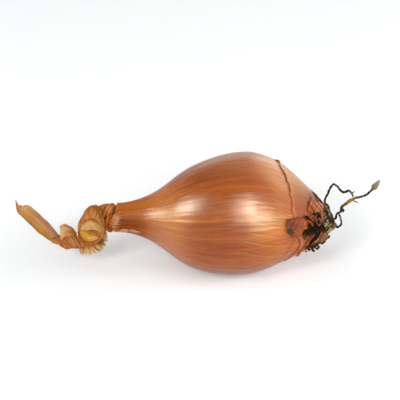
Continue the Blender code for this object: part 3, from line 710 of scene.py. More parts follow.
def build_frayed():
    r = np.random.default_rng(11)
    inner, outer = np.array(FRAY_INNER), np.array(FRAY_OUTER)
    ti, to = np.linspace(0, 1, len(inner)), np.linspace(0, 1, len(outer))
    parts = []
    count = 64
    for i in range(count):
        t = np.clip((i + r.uniform(-0.5, 0.5)) / (count - 1), 0, 1)
        b = spline(np.c_[ti, inner], [t])[0]
        e = spline(np.c_[to, outer], [np.clip(t + r.uniform(-0.02, 0.02), 0, 1)])[0]
        layer = r.uniform(0, 1)
        tip = b + (e - b) * (r.uniform(0.84, 1.0) if i % 3 else r.uniform(0.96, 1.03))
        side = np.array([-(e - b)[1], (e - b)[0]]) / (np.linalg.norm(e - b) + 1e-6)
        bend = r.uniform(-0.35, 0.35)
        wide = r.uniform(0.18, 0.42)
        st = []
        for f in (0, 0.2, 0.4, 0.6, 0.8, 0.93, 1.0):
            q = b + (tip - b) * f + side * bend * math.sin(math.pi * f)
            d = 4.35 + 0.75 * layer + 0.25 * math.sin(math.pi * f * 0.9 + layer) + 0.15 * f
            w = wide * (0.75 + 0.45 * math.sin(math.pi * min(f * 1.1, 1))) * (1 - 0.85 * max(0, f - 0.7) / 0.3)
            st.append((q[0], q[1], d, max(w, 0.05), 0.10 if f < 0.95 else 0.05))
        verts, faces, a, along, both, fib = tube(st, 8, 22, wobble=0.03, seed=i)
        # fibres lying further back (lower layer) are darker, most towards their base under the curl: painted shade
        # among the fibres
        tone = np.clip(0.22 + 0.58 * smooth(0.25, 0.9, along) + 0.5 * (layer - 0.5) + r.uniform(-0.3, 0.3), 0, 1)
        warm = 0.65 * (1 - smooth(0.0, 0.55, along)) + 0.2 * (1 - layer)
        parts.append((verts, faces, {"fib": fib + [i * 3.1, 0, 0], "tone": both(tone), "warm": both(warm), "dark": both(0.6 * (1 - layer) * (1 - smooth(0.1, 0.9, along)))}))
    t = np.linspace(0, 1, 140)
    base = spline(np.c_[ti, inner], t)
    edge = spline(np.c_[to, outer], t)
    reach = np.linspace(-0.85, 0.66, 30)[:, None]  # it starts behind the curl
    teeth = 1 - 0.12 * np.abs(((t * 23) % 1) - 0.5)[None] - 0.05 * np.cos(57 * t)[None]
    u = base[None, :, 0] * (1 - reach * teeth) + edge[None, :, 0] * reach * teeth
    v = base[None, :, 1] * (1 - reach * teeth) + edge[None, :, 1] * reach * teeth
    groove = 0.12 * np.cos(2 * math.pi * 19 * t)[None] * (0.3 + np.abs(reach)) + 4.35 + 0.50 * smooth(0.02, -0.30, reach)
    top, under = lean(u, v, groove + 0.1), lean(u, v, groove - 0.05)
    verts, faces = thin_solid(top, under)
    twice = lambda a: np.concatenate([a.ravel(), a.ravel()])
    one = np.ones_like(u)
    fib = np.stack([twice(one * t * 18), twice(reach * 6 * one), twice(0 * u)], -1)
    parts.append((verts, faces, {"fib": fib, "tone": twice((0.25 + 0.4 * np.abs(reach)) * one), "warm": twice(0.4 * (1 - np.abs(reach)) * one), "dark": twice(0.15 * one)}))
    verts, faces, attrs = join(parts)
    make(
        "frayed_fibres", verts, faces,
        leaf_material("leaf_fringe", lit(246, 208, 150), lit(218, 156, 90), lit(150, 78, 28), 0.6, 1.3, 0.25, 0.35),
        ["frayed_leaf"], attrs,
    )


def tip_depth(u):
    return np.interp(u, [-65.5, -64.6, -63.4, -62.1, -59.7, -57.0, -54.9, -53.4, -51.6, -49.8, -48.0, -46], [10.5, 9.4, 9.1, 8.6, 7.7, 6.8, 6.0, 5.6, 6.1, 6.0, 5.5, 5.2])


def build_tip_leaf():
    st = [(u, v, float(tip_depth(u)), w, h) for u, v, w, h in TIP_TUBE]
    ribs = lambda a, g: 0.035 * np.cos(16 * a) + 0.02 * np.cos(27 * a + 1) + 0.02 * np.cos(1.7 * g + 2 * a)

    def torn(w, along):
        near = np.exp(-along / 0.06)
        reach = np.interp(w, [-1, -0.6, -0.1, 0.04, 0.38, 0.7, 0.86, 0.95, 1.0], [1.5, 1.6, 1.75, 1.45, 1.1, 0.85, 0.45, -0.1, -0.4])
        return -near * (reach + 0.12 * np.cos(11 * w + 1) + 0.08 * np.cos(23 * w))

    # w is +1 on the upper edge and -1 on the lower one
    verts, faces, a, along, both, fib = tube(st, 56, 90, relief=ribs, shift=lambda w, al: torn(w * TUBE_SIDE, al), rounded=0.8)
    w = np.cos(a) * TUBE_SIDE
    tone = 0.45 + 0.18 * np.sin(3 * w + 2.6) + 0.45 * np.exp(-along / 0.10) - 0.30 * smooth(0.82, 1.0, along)
    warm = 0.70 * smooth(0.2, 0.8, w) * smooth(0.08, 0.3, along) + 0.35 * smooth(0.8, 1.0, along)
    dark = 0.45 * np.exp(-(((w - 0.70) / 0.20) ** 2)) * smooth(0.12, 0.3, along) + 0.6 * np.exp(-(((along - 0.90) / 0.04) ** 2)) * smooth(-0.6, 0.4, w)
    parts = [(verts, faces, {"fib": fib, "tone": both(np.clip(tone, 0, 1)), "warm": both(warm), "dark": both(dark)})]
    for path, tone, warm in SPIKES:
        verts, faces, a, along, both, fib = tube([(u, v, float(tip_depth(u)) + 0.2, w_, h) for u, v, w_, h in path], 10, 40, wobble=0.04)
        parts.append((verts, faces, {"fib": fib, "tone": both(tone + 0 * a), "warm": both(warm + 0.3 * smooth(0.3, 0.9, along)), "dark": both(0.15 * smooth(0.6, 1, along))}))
    verts, faces, attrs = join(parts)
    make(
        "tip_tube", verts, faces,
        leaf_material("leaf_tube", lit(204, 150, 78), lit(184, 122, 50), lit(146, 82, 24), 0.46, 1.0, 0.45, 0.22, 0.4),
        ["tip_leaf"], attrs,
    )

    panel = ragged(closed_curve(OUTLINE_PANEL, 200), 0.10, 21, where=lambda t: 0.6 + 0.8 * np.abs(np.sin(t * 1.5)))
    c, sn = math.cos(math.radians(-54)), math.sin(math.radians(-54))
    across = lambda u, v: (u + 51) * sn * -1 + (v - 7) * c  # mm across the pleats
    lengthwise = lambda u, v: (u + 51) * c + (v - 7) * sn

    def relief(u, v, s):
        left = smooth(-47.5, -50.0, u)
        q = across(u, v)
        pleat = 0.26 * np.abs(((q * 0.95 + 0.1 * np.sin(v)) % 1) - 0.5) * 2 * left * smooth(-54.8, -53.2, u)
        return tip_depth(u) + 0.55 + pleat + 0.5 * (1 - s**3) + 0.10 * np.sin(q * 3.1) * (1 - left) + 0.05 * np.sin(q * 9)

    verts, faces, u, v, s, both = patch(panel, 40, 0.22, relief)
    q = across(u, v)
    valley = 1 - 2 * np.abs(((q * 0.95 + 0.1 * np.sin(v)) % 1) - 0.5)
    left = smooth(-47.5, -50.0, u) * smooth(-54.8, -53.2, u)
    fib = np.stack([both(q), both(lengthwise(u, v)), both(0 * u)], -1)
    tone = np.clip(0.45 + 0.1 * np.sin(q * 2), 0, 1)
    warm = 0.15 + 0.55 * np.exp(-(((v - 5.2) / 0.6) ** 2)) * smooth(-53.0, -51.5, u)
    tone = tone + 0.25 * smooth(-52.6, -54.4, u) * (1 - np.exp(-((np.hypot(u + 54.9, v - 9.3) / 1.2) ** 2)))
    # dark in the pleat valleys: painted shade in the folds
    dark = 0.65 * smooth(0.70, 0.97, valley) * left + 0.15 * smooth(0.97, 1, s) + 0.9 * np.exp(-((np.hypot((u + 54.6) / 0.8, (v - 8.9) / 1.5)) ** 2))
    dark = np.clip(dark, 0, 0.9)
    parts = [(verts, faces, {"fib": fib, "tone": both(tone), "warm": both(warm), "dark": both(dark)})]
    verts, faces, attrs = join(parts)
    make(
        "tip_panel", verts, faces,
        leaf_material("leaf_panel", lit(220, 158, 82), lit(196, 118, 46), lit(142, 68, 18), 0.42, 1.1, 0.4, 0.3, 0.35),
        ["tip_leaf"], attrs,
    )

    flap = ragged(closed_curve(OUTLINE_FLAP, 160), 0.07, 31)
    fold = lambda u, v, s: tip_depth(u) + 1.15 + 0.45 * np.sin((u + 54) * 0.75) - 0.35 * s**2 + 0.10 * np.sin(4 * v + u)
    verts, faces, u, v, s, both = patch(flap, 20, 0.18, fold)
    fib = np.stack([both((u - v) * 0.7), both((u + v) * 0.7), both(0 * u)], -1)
    tone = np.clip(0.85 - 0.40 * smooth(-51.8, -49.5, u) + 0.1 * np.sin(2 * u), 0, 1)
    warm = 0.55 * smooth(-51.2, -48.6, u) + 0.30 * smooth(0.93, 1, s)
    make(
        "tip_flap", verts, faces,
        leaf_material("leaf_flap", lit(228, 178, 112), lit(212, 150, 86), lit(184, 108, 50), 0.42, 0.9, 0.4, 0.25, 0.25),
        ["tip_leaf"],
        {"fib": fib, "tone": both(tone), "warm": both(warm), "dark": both(0.05 * smooth(0.95, 1, s))},
    )


def build_neck():
    n, cols = 90, 160
    x = np.linspace(-35.5, -41.6, n)
    half = np.interp(x, [-41.6, -40.4, -39.2, -38.2, -37.2, -36.2, -35.5], [3.0, 3.5, 3.8, 4.0, 4.1, 4.1, 4.0])
    deep = np.interp(x, [-41.6, -40.4, -39.4, -38.6, -38.0, -37.2, -36.2, -35.5], [0.5, 0.8, 1.2, 2.2, 3.0, 3.6, 3.9, 3.9])
    mv = np.interp(x, [-41.6, -39.0, -37.5, -35.5], [14.7, 14.6, 14.4, 14.35])
    md = np.interp(x, [-41.6, -40.4, -39.2, -38.4, -37.4, -35.5], [4.9, 5.1, 5.3, 6.3, 7.2, 7.4])
    a = np.linspace(0, 2 * math.pi, cols, endpoint=False)[None, :]
    xx = x[:, None]
    turn = a + 0.16 * (xx + 35.5)
    pleat = 0.055 * np.cos(9 * turn) + 0.035 * np.cos(15 * turn + 1) + 0.022 * np.cos(26 * turn + 2) + 0.012 * np.cos(43 * turn)
    line = -35.9 - 1.0 * (0.5 - 0.5 * np.cos(a)) - 0.15 * np.sin(2 * a)  # the pinch slants down to the left
    gap = np.exp(-(((xx - line) / 0.38) ** 2))
    lip = np.exp(-(((xx - line - 0.75) / 0.45) ** 2))
    k = 1 + pleat - 0.15 * gap + 0.03 * lip - 0.12 * smooth(0.0, 0.5, xx - line)
    rings = lean(xx + 0 * a, mv[:, None] + np.cos(a) * half[:, None] * k, md[:, None] + np.sin(a) * deep[:, None] * k)
    verts, faces = closed_loft(rings)
    both = lambda v: np.concatenate([(v + 0 * a * xx).ravel(), [np.mean(v), np.mean(v)]])
    fib = np.stack([both(turn * 4), both(xx), both(0 * a)], -1)
    crest = pleat / 0.1
    # lighter on the pleat crests: painted light; the troughs get painted shade in dark below
    tone = np.clip(0.34 + 0.30 * crest + 0.15 * lip, 0, 1)
    # lighter at the left end, which the curl shades: painted light
    tone = np.clip(tone + 0.35 * smooth(-38.8, -40.2, xx), 0, 1)
    warm = np.clip(0.55 - 0.35 * crest, 0, 0.9)
    # dark: painted shadow in the pinch groove (gap), painted shade on the underside next to the pinch (low) and in the
    # pleat troughs
    low = smooth(0.45, -0.05, np.cos(a)) * np.exp(-(((xx + 37.5) / 1.0) ** 2))
    dark = np.clip(0.85 * gap + 0.62 * low + 0.40 * smooth(0.0, -0.8, crest) * smooth(-36.5, -38, xx) * smooth(-39.8, -38.8, xx), 0, 0.95)
    parts = [(verts, faces, {"fib": fib, "tone": both(tone), "warm": both(warm), "dark": both(dark)})]
    front = lambda u, v: float(np.interp(u, x[::-1], md[::-1])) + float(np.interp(u, x[::-1], deep[::-1])) * math.sqrt(max(0.04, 1 - ((v - np.interp(u, x[::-1], mv[::-1])) / np.interp(u, x[::-1], half[::-1])) ** 2))
    for i, (path, tone, warm) in enumerate(NECK_STRANDS):
        st = [(u, v, front(u, v) + 0.12, w, 0.14) for u, v, w in path]
        verts, faces, a2, along, both2, fib = tube(st, 10, 50, wobble=0.04, seed=50 + i)
        parts.append((verts, faces, {"fib": fib + [7.0 * i, 0, 0], "tone": both2(tone + 0.2 * np.sin(5 * along)), "warm": both2(warm + 0 * a2), "dark": both2(0.2 * smooth(0.8, 1, along))}))
    verts, faces, attrs = join(parts)
    make(
        "neck_bundle", verts, faces,
        leaf_material("leaf_bundle", lit(226, 156, 88), lit(190, 102, 38), lit(136, 56, 12), 0.45, 1.1, 0.35, 0.4),
        ["neck_leaves"], attrs,
    )

    # Torn collar and peeling bits on the front of the neck
    def on_neck(u, v, d):
        u, v, d = np.broadcast_arrays(u, v, d)
        mid = spline(BULB_AXIS, u)
        av = mid[..., 0] * UP[1] + mid[..., 1] * UP[2]
        ad = mid[..., 0] * OUT[1] + mid[..., 1] * OUT[2]
        r = spline(BULB_PROFILE, np.maximum(u, -35.2))[..., 0] + 0.1
        f = np.clip((v - av) / r, -1.0, 1.0)
        return lean(u, v, ad + np.sqrt(np.clip(1 - f**2, 0.0, 1)) * r + d)

    parts = []
    r = np.random.default_rng(19)
    for i in range(30):  # torn threads of the outer leaf that spread to the right
        f = (i + r.uniform(-0.4, 0.4)) / 29
        a = np.array([-36.3 + 1.4 * (1 - f), 16.0]) * (1 - f) + np.array([-36.5, 11.3]) * f
        turn = math.radians(18 - 58 * f + r.uniform(-9, 9))
        reach = r.uniform(1.0, 2.3) * (0.65 + 0.5 * math.sin(math.pi * f))
        st = []
        for q in (-0.35, 0, 0.35, 0.7, 1.0):
            u, v = a + reach * q * np.array([math.cos(turn + 0.3 * q), math.sin(turn + 0.3 * q)])
            spot = on_neck(u, v, 0.16 + 0.22 * max(q, 0) * r.uniform(0.5, 1))
            st.append((*to_lean(spot), 0.20 * (1.12 - max(q, 0)), 0.09))
        verts, faces, a2, along, both2, fib = tube(st, 7, 14, wobble=0.03, seed=400 + i)
        k = r.uniform(-0.25, 0.25)
        parts.append((verts, faces, {"fib": fib + [6.0 * i, 0, 0], "tone": both2(np.clip(0.45 + k + 0.4 * along, 0, 1)), "warm": both2(np.clip(0.5 - 0.5 * along, 0, 1)), "dark": both2(0.35 * (1 - along))}))
    for i, (outline, tone, warm, jag) in enumerate(NECK_PATCHES):
        shape = ragged(closed_curve(outline, 120), jag, 60 + i, (7, 12, 21, 33, 47))
        lift = lambda u, v, s: 0.22 * s**2 + 0.06 * np.cos(7 * v)
        verts, faces, u, v, s, both = patch(shape, 10, 0.10, lift, place=on_neck, depth=0.12)
        fib = np.stack([both(v), both(u), both(0 * u)], -1)
        parts.append((verts, faces, {"fib": fib + [9.0 * i, 0, 0], "tone": both(np.clip(tone + 0.15 * np.sin(4 * v), 0, 1)), "warm": both(warm + 0 * u), "dark": both(0.15 * smooth(0.9, 1, s))}))
    verts, faces, attrs = join(parts)
    make(
        "neck_collar", verts, faces,
        leaf_material("leaf_collar", lit(240, 196, 150), lit(208, 130, 66), lit(156, 76, 26), 0.5, 1.4, 0.3, 0.35),
        ["neck_leaves"], attrs,
    )


# ================================================================ root end: flakes, mat, plate, roots
def surface_depth(u, v):
    """How far out the bulb's surface lies at (u, v) across the object."""
    u, v = np.broadcast_arrays(np.asarray(u, float), np.asarray(v, float))
    mid = spline(BULB_AXIS, u)
    av, ad = mid[..., 0] * UP[1] + mid[..., 1] * UP[2], mid[..., 0] * OUT[1] + mid[..., 1] * OUT[2]
    r = spline(BULB_PROFILE, u)[..., 0] + 0.35
    f = np.clip((v - av) / r, -1, 1)
    return ad + r * np.sqrt(np.clip(1 - f**2, 0.02, 1)) - 0.25 * r * np.clip(np.abs((v - av) / r) - 1, 0, 2)


def seen(u, v):
    """(u, v) laid out in the picture's plane, moved to where the bulb's surface meets that line of sight."""
    u, v = np.broadcast_arrays(np.asarray(u, float), np.asarray(v, float))
    a, b = u, v
    for _ in range(3):
        k = 1 - (surface_depth(a, b) - 9.0) / 450.0
        a, b = -10.5 + (u + 10.5) * k, 19.6 + (v - 19.6) * k
    return a, b


def on_bulb(u, v, d):
    u, v, d = np.broadcast_arrays(np.asarray(u, float), np.asarray(v, float), np.asarray(d, float))
    a, b = seen(u, v)
    return lean(a, b, surface_depth(a, b) + d)


def to_lean(p):
    p = np.asarray(p, float)
    return np.stack([p[..., 0], p @ UP, p @ OUT], -1)


def strand(path, lift=0.2, **more):
    """Tube that lies on the bulb through (u, v, lift, half width) stations."""
    st = []
    for u, v, h, w in path:
        a, b = seen(u, v)
        st.append((float(a), float(b), float(surface_depth(a, b)) + h + lift, w, w * 0.6))
    return tube(st, more.pop("sides", 7), more.pop("steps", 16), **more)


def skin_material(name, light, mid, deep, rough=0.6, scale=1.0, pits=0.5, pit_colour=(0.004, 0.002, 0.001), relief=0.5, spec=0.3):
    k = Nodes(name)
    fib = k.attr("fib", vector=True)
    at = k.scaled(k.coords(), (1000, 1000, 1000))
    band = k.noise(k.scaled(fib, (1.0, 0.12, 1.0)), 2.2 * scale, 4, 0.6)
    blotch = k.noise(at, 0.9 * scale, 5, 0.65)
    spots = k.noise(at, 2.6 * scale, 3, 0.5)
    tone = k.math("ADD", k.attr("tone"), k.map(band, 0.3, 0.7, -0.3, 0.3))
    tone = k.math("ADD", tone, k.map(blotch, 0.3, 0.7, -0.25, 0.25))
    base = k.ramp(tone, [(0.0, deep), (0.5, mid), (1.0, light)])
    base = k.mix(k.attr("warm"), base, lit(190, 92, 38))
    base = k.mix(k.map(spots, 0.60, 0.68, 0.0, pits), base, pit_colour)
    base = k.mix(k.attr("dark"), base, (0.003, 0.0015, 0.001))
    bump = k.bump(band, relief, 0.0003)
    bump = k.bump(blotch, relief, 0.0004, bump)
    return k.set(Base_Color=base, Roughness=rough, Normal=bump, Specular_IOR_Level=spec * 0.7, Specular_Tint=(1.0, 0.92, 0.75))


SPOTTED = [(15.5, 12.8), (16.2, 13.8), (17.6, 14.2), (19.0, 14.7), (19.9, 14.4), (21.1, 14.6), (21.8, 14.0), (21.4, 12.7), (21.2, 11.3), (20.5, 10.1), (19.7, 8.8), (18.6, 8.7), (17.6, 8.8), (16.6, 9.1), (16.1, 10.0), (15.8, 11.3)]
SPOTTED_HOLE = [(16.1, 11.0), (16.7, 11.2), (17.2, 10.7), (17.7, 10.0), (17.5, 9.4), (16.8, 9.2), (16.1, 9.7), (15.9, 10.4)]
SPECKS = [  # u, v, size on the spotted flake
    (15.7, 12.7, 0.28), (17.5, 13.0, 0.22), (16.3, 13.4, 0.14), (17.8, 12.1, 0.18), (16.9, 12.0, 0.2), (18.5, 12.3, 0.14), (19.3, 12.9, 0.14), (18.7, 10.3, 0.12), (19.6, 13.6, 0.13), (20.0, 11.8, 0.16), (18.2, 13.9, 0.16), (17.1, 11.5, 0.16), (20.5, 12.5, 0.15), (19.2, 11.7, 0.11), (21.0, 13.5, 0.2)
]
TORN_AMBER = [(20.8, 13.4), (21.5, 14.4), (22.4, 15.2), (23.5, 15.1), (24.5, 15.1), (24.7, 13.8), (24.4, 12.4), (23.3, 11.4), (22.1, 10.9), (20.9, 10.3), (20.6, 11.8)]
STRIP = [(22.2, 18.8), (22.6, 19.6), (23.3, 20.3), (24.1, 19.6), (25.0, 18.8), (25.8, 17.8), (26.2, 16.9), (25.5, 16.3), (24.7, 15.7), (24.5, 14.7), (23.9, 14.9), (24.1, 16.0), (23.4, 16.9), (22.7, 17.9)]
HOLLOW = [(22.0, 18.4), (22.7, 18.0), (23.3, 17.1), (24.1, 16.1), (24.2, 15.1), (23.3, 15.2), (22.4, 16.0), (21.8, 16.7), (21.9, 17.6)]
SLIT_RIDGES = [
    ([(24.5, 19.9, 0.5, 0.16), (25.1, 19.2, 0.6, 0.3), (25.8, 18.3, 0.6, 0.32), (26.5, 17.5, 0.4, 0.18)], 0.9, 0.1, 0.0),
    # the black strand between the ridges stands for the slit's shaded depth: painted shade
    ([(25.0, 20.1, 0.2, 0.1), (25.4, 19.3, 0.25, 0.26), (26.0, 18.5, 0.25, 0.26), (26.5, 17.9, 0.2, 0.12)], 0.0, 0.0, 0.95),
    ([(25.1, 20.4, 0.1, 0.14), (25.9, 19.5, 0.15, 0.26), (26.5, 18.7, 0.15, 0.24), (27.2, 18.1, 0.1, 0.14)], 0.7, 0.3, 0.0),
    ([(24.1, 19.0, 0.5, 0.12), (24.8, 18.1, 0.6, 0.22), (25.4, 17.4, 0.6, 0.22), (26.0, 16.9, 0.5, 0.14)], 0.8, 0.35, 0.0),
]
TORN_LIP = [  # the torn edge where it lifts, and two creases below it
    ([(12.1, 31.8, 0.8, 0.12), (12.5, 31.65, 1.0, 0.26), (13.0, 31.4, 1.0, 0.28), (13.5, 30.9, 0.6, 0.12)], 0.6, 0.3, 0.0),
    ([(13.02, 30.37, 0.08, 0.07), (13.8, 28.99, 0.08, 0.10), (14.88, 26.77, 0.08, 0.09), (16.02, 24.37, 0.08, 0.06), (16.68, 22.45, 0.06, 0.05)], 0.35, 0.3, 0.0),
    ([(18.42, 8.95, 0.1, 0.06), (17.52, 6.85, 0.12, 0.12), (16.38, 4.81, 0.12, 0.12), (15.12, 2.95, 0.1, 0.06)], 0.75, 0.2, 0.0),
    ([(16.56, 10.27, 0.1, 0.06), (17.58, 8.77, 0.14, 0.12), (18.48, 7.09, 0.1, 0.06)], 0.45, 0.4, 0.1),
    ([(17.94, 3.67, 0.1, 0.14), (18.72, 3.85, 0.4, 0.4), (19.44, 4.39, 0.4, 0.36), (20.04, 5.05, 0.1, 0.12)], 0.85, 0.15, 0.0),
    ([(18.3, 2.95, 0.1, 0.14), (19.08, 3.13, 0.25, 0.3), (19.56, 3.79, 0.2, 0.16)], 0.55, 0.3, 0.0),
]
BROWN_SHREDS = [  # brown pieces among the black ones
    ([(21.72, 14.05, 0.1, 0.18), (22.32, 13.27, 0.2, 0.5), (22.86, 12.49, 0.2, 0.46), (23.28, 11.65, 0.1, 0.16)], 0.5, 0.3, 0.1),
    ([(23.16, 14.83, 0.1, 0.14), (23.82, 14.29, 0.2, 0.34), (24.36, 13.45, 0.2, 0.3), (24.6, 12.67, 0.1, 0.12)], 0.4, 0.2, 0.2),
    ([(24.9, 14.59, 0.1, 0.14), (25.38, 13.87, 0.2, 0.36), (25.74, 13.09, 0.2, 0.34), (25.98, 12.37, 0.1, 0.14)], 0.55, 0.0, 0.2),
    ([(25.14, 10.99, 0.1, 0.14), (25.56, 10.09, 0.2, 0.42), (25.86, 9.13, 0.2, 0.46), (25.98, 8.17, 0.1, 0.2)], 0.6, 0.05, 0.1),
    ([(24.12, 8.05, 0.1, 0.14), (24.6, 8.83, 0.2, 0.3), (25.08, 9.73, 0.2, 0.3), (25.32, 10.57, 0.1, 0.12)], 0.35, 0.1, 0.3),
]
DARK_FLAKE = [(21.1, 10.9), (22.0, 11.4), (23.0, 11.6), (24.0, 11.5), (24.6, 10.8), (24.1, 9.7), (23.3, 9.1), (22.6, 8.3), (21.7, 7.4), (21.1, 7.6), (20.6, 8.7), (20.3, 9.8)]
MAT = [(24.5, 16.1), (25.1, 16.3), (25.6, 15.4), (26.0, 14.2), (26.4, 12.8), (27.1, 11.5), (27.2, 10.3), (26.3, 10.1), (25.3, 10.3), (24.2, 10.6), (23.0, 11.0), (22.6, 11.8), (23.6, 12.1), (24.4, 13.0), (24.6, 14.3)]
WEDGE = [(26.5, 10.9), (27.2, 10.5), (27.9, 9.7), (27.9, 8.7), (27.5, 7.7), (26.6, 7.2), (25.5, 6.8), (24.4, 6.2), (23.2, 5.8), (23.5, 6.7), (24.4, 8.1), (25.1, 9.4), (25.7, 10.4)]
WEDGE_2 = [(26.6, 9.8), (27.2, 10.1), (27.8, 9.4), (27.7, 8.2), (26.8, 7.7), (25.6, 7.3), (26.0, 8.5)]
STRIP_LOW = [(24.2, 9.8), (24.7, 10.0), (24.2, 8.8), (23.3, 7.6), (22.2, 6.2), (20.9, 4.9), (20.0, 4.4), (20.6, 5.5), (21.7, 6.9), (23.0, 8.5)]
BLACK_BARS = [  # paths of near-black shreds: (u, v, lift, half width)
    [(26.0, 10.9, 0.5, 0.25), (25.1, 10.0, 0.6, 0.55), (24.1, 8.6, 0.6, 0.62), (23.0, 7.3, 0.6, 0.5), (22.3, 6.2, 0.5, 0.22)],
    [(21.0, 14.9, 0.5, 0.25), (21.6, 14.5, 0.6, 0.5), (22.1, 14.0, 0.6, 0.42), (22.8, 13.3, 0.6, 0.3), (23.8, 12.5, 0.6, 0.28), (24.9, 11.6, 0.5, 0.3)],
    [(22.0, 13.9, 0.5, 0.3), (22.4, 13.1, 0.6, 0.3), (22.2, 12.1, 0.6, 0.4), (21.7, 11.5, 0.5, 0.2)],
    [(21.7, 12.2, 0.5, 0.12), (22.4, 12.2, 0.6, 0.28), (22.9, 11.9, 0.5, 0.15)],
    [(24.6, 16.3, 0.4, 0.15), (25.1, 15.2, 0.6, 0.3), (25.6, 13.9, 0.7, 0.3), (26.2, 12.5, 0.7, 0.32), (26.5, 11.1, 0.6, 0.25)],
    [(23.7, 15.8, 0.4, 0.12), (24.1, 15.4, 0.5, 0.35), (24.2, 14.9, 0.4, 0.15)],
    [(22.6, 10.9, 0.7, 0.2), (23.2, 11.3, 0.8, 0.45), (24.3, 11.1, 0.8, 0.4), (25.4, 10.9, 0.7, 0.3)],
]
CRUMBS = [
    [(22.3, 5.8, 0.2, 0.2), (23.0, 5.9, 0.3, 0.42), (23.7, 5.6, 0.3, 0.36), (24.4, 5.9, 0.2, 0.32), (25.1, 6.1, 0.1, 0.2)],
    [(21.7, 5.6, 0.3, 0.2), (22.1, 5.1, 0.4, 0.4), (22.4, 4.6, 0.3, 0.28)],
    [(22.9, 5.2, 0.3, 0.25), (23.3, 4.8, 0.3, 0.36), (23.9, 4.3, 0.2, 0.26)],
    [(24.0, 5.3, 0.2, 0.22), (24.7, 5.2, 0.1, 0.34), (25.4, 5.9, 0.0, 0.26)],
    [(25.7, 6.6, 0.2, 0.2), (26.3, 6.8, 0.2, 0.34), (27.1, 7.5, 0.1, 0.24)],
    [(20.9, 5.1, 0.3, 0.16), (21.6, 5.8, 0.5, 0.36), (22.4, 6.3, 0.4, 0.24)],
    [(27.4, 7.9, 0.1, 0.2), (28.0, 8.5, 0.0, 0.3), (28.4, 9.3, 0.0, 0.15)],
]


def skins(name, pieces, material, replaces):
    """Thin patches lying on the bulb as one object: outline, lift, rings, relief(u, v, s), tone(u, v, s), warm(...), dark(...), grain angle."""
    parts = []
    for i, (outline, jag, lift, rings, relief, tone, warm, dark, grain) in enumerate(pieces):
        shape = ragged(closed_curve(outline, 150), jag, 80 + i + len(name), (8, 13, 21, 34, 55))
        verts, faces, u, v, s, both = patch(shape, rings, 0.14, relief, place=on_bulb, depth=lift)
        c, sn = math.cos(math.radians(grain)), math.sin(math.radians(grain))
        fib = np.stack([both(-u * sn + v * c), both(u * c + v * sn), both(0 * u)], -1)
        value = lambda f: both(np.clip(f(u, v, s) if callable(f) else f + 0 * u, 0, 1))
        parts.append((verts, faces, {"fib": fib + [11.0 * i, 0, 0], "tone": value(tone), "warm": value(warm), "dark": value(dark)}))
    verts, faces, attrs = join(parts)
    return make(name, verts, faces, material, replaces, attrs)


def strands(name, paths, material, replaces, lift=0.25, seed=1, steps=18):
    parts = []
    for i, (path, tone, warm, dark) in enumerate(paths):
        verts, faces, a, along, both, fib = strand(
            path, lift, sides=9, steps=steps, wobble=0.06, seed=seed + i,
            relief=lambda a, g: 0.16 * np.cos(3 * a + 2 * g + i) + 0.14 * np.cos(5.3 * g + i) + 0.10 * np.cos(9.1 * g),
        )
        parts.append((verts, faces, {"fib": fib + [5.0 * i, 0, 0], "tone": both(tone + 0 * a), "warm": both(warm + 0 * a), "dark": both(dark + 0 * a)}))
    verts, faces, attrs = join(parts)
    return make(name, verts, faces, material, replaces, attrs)


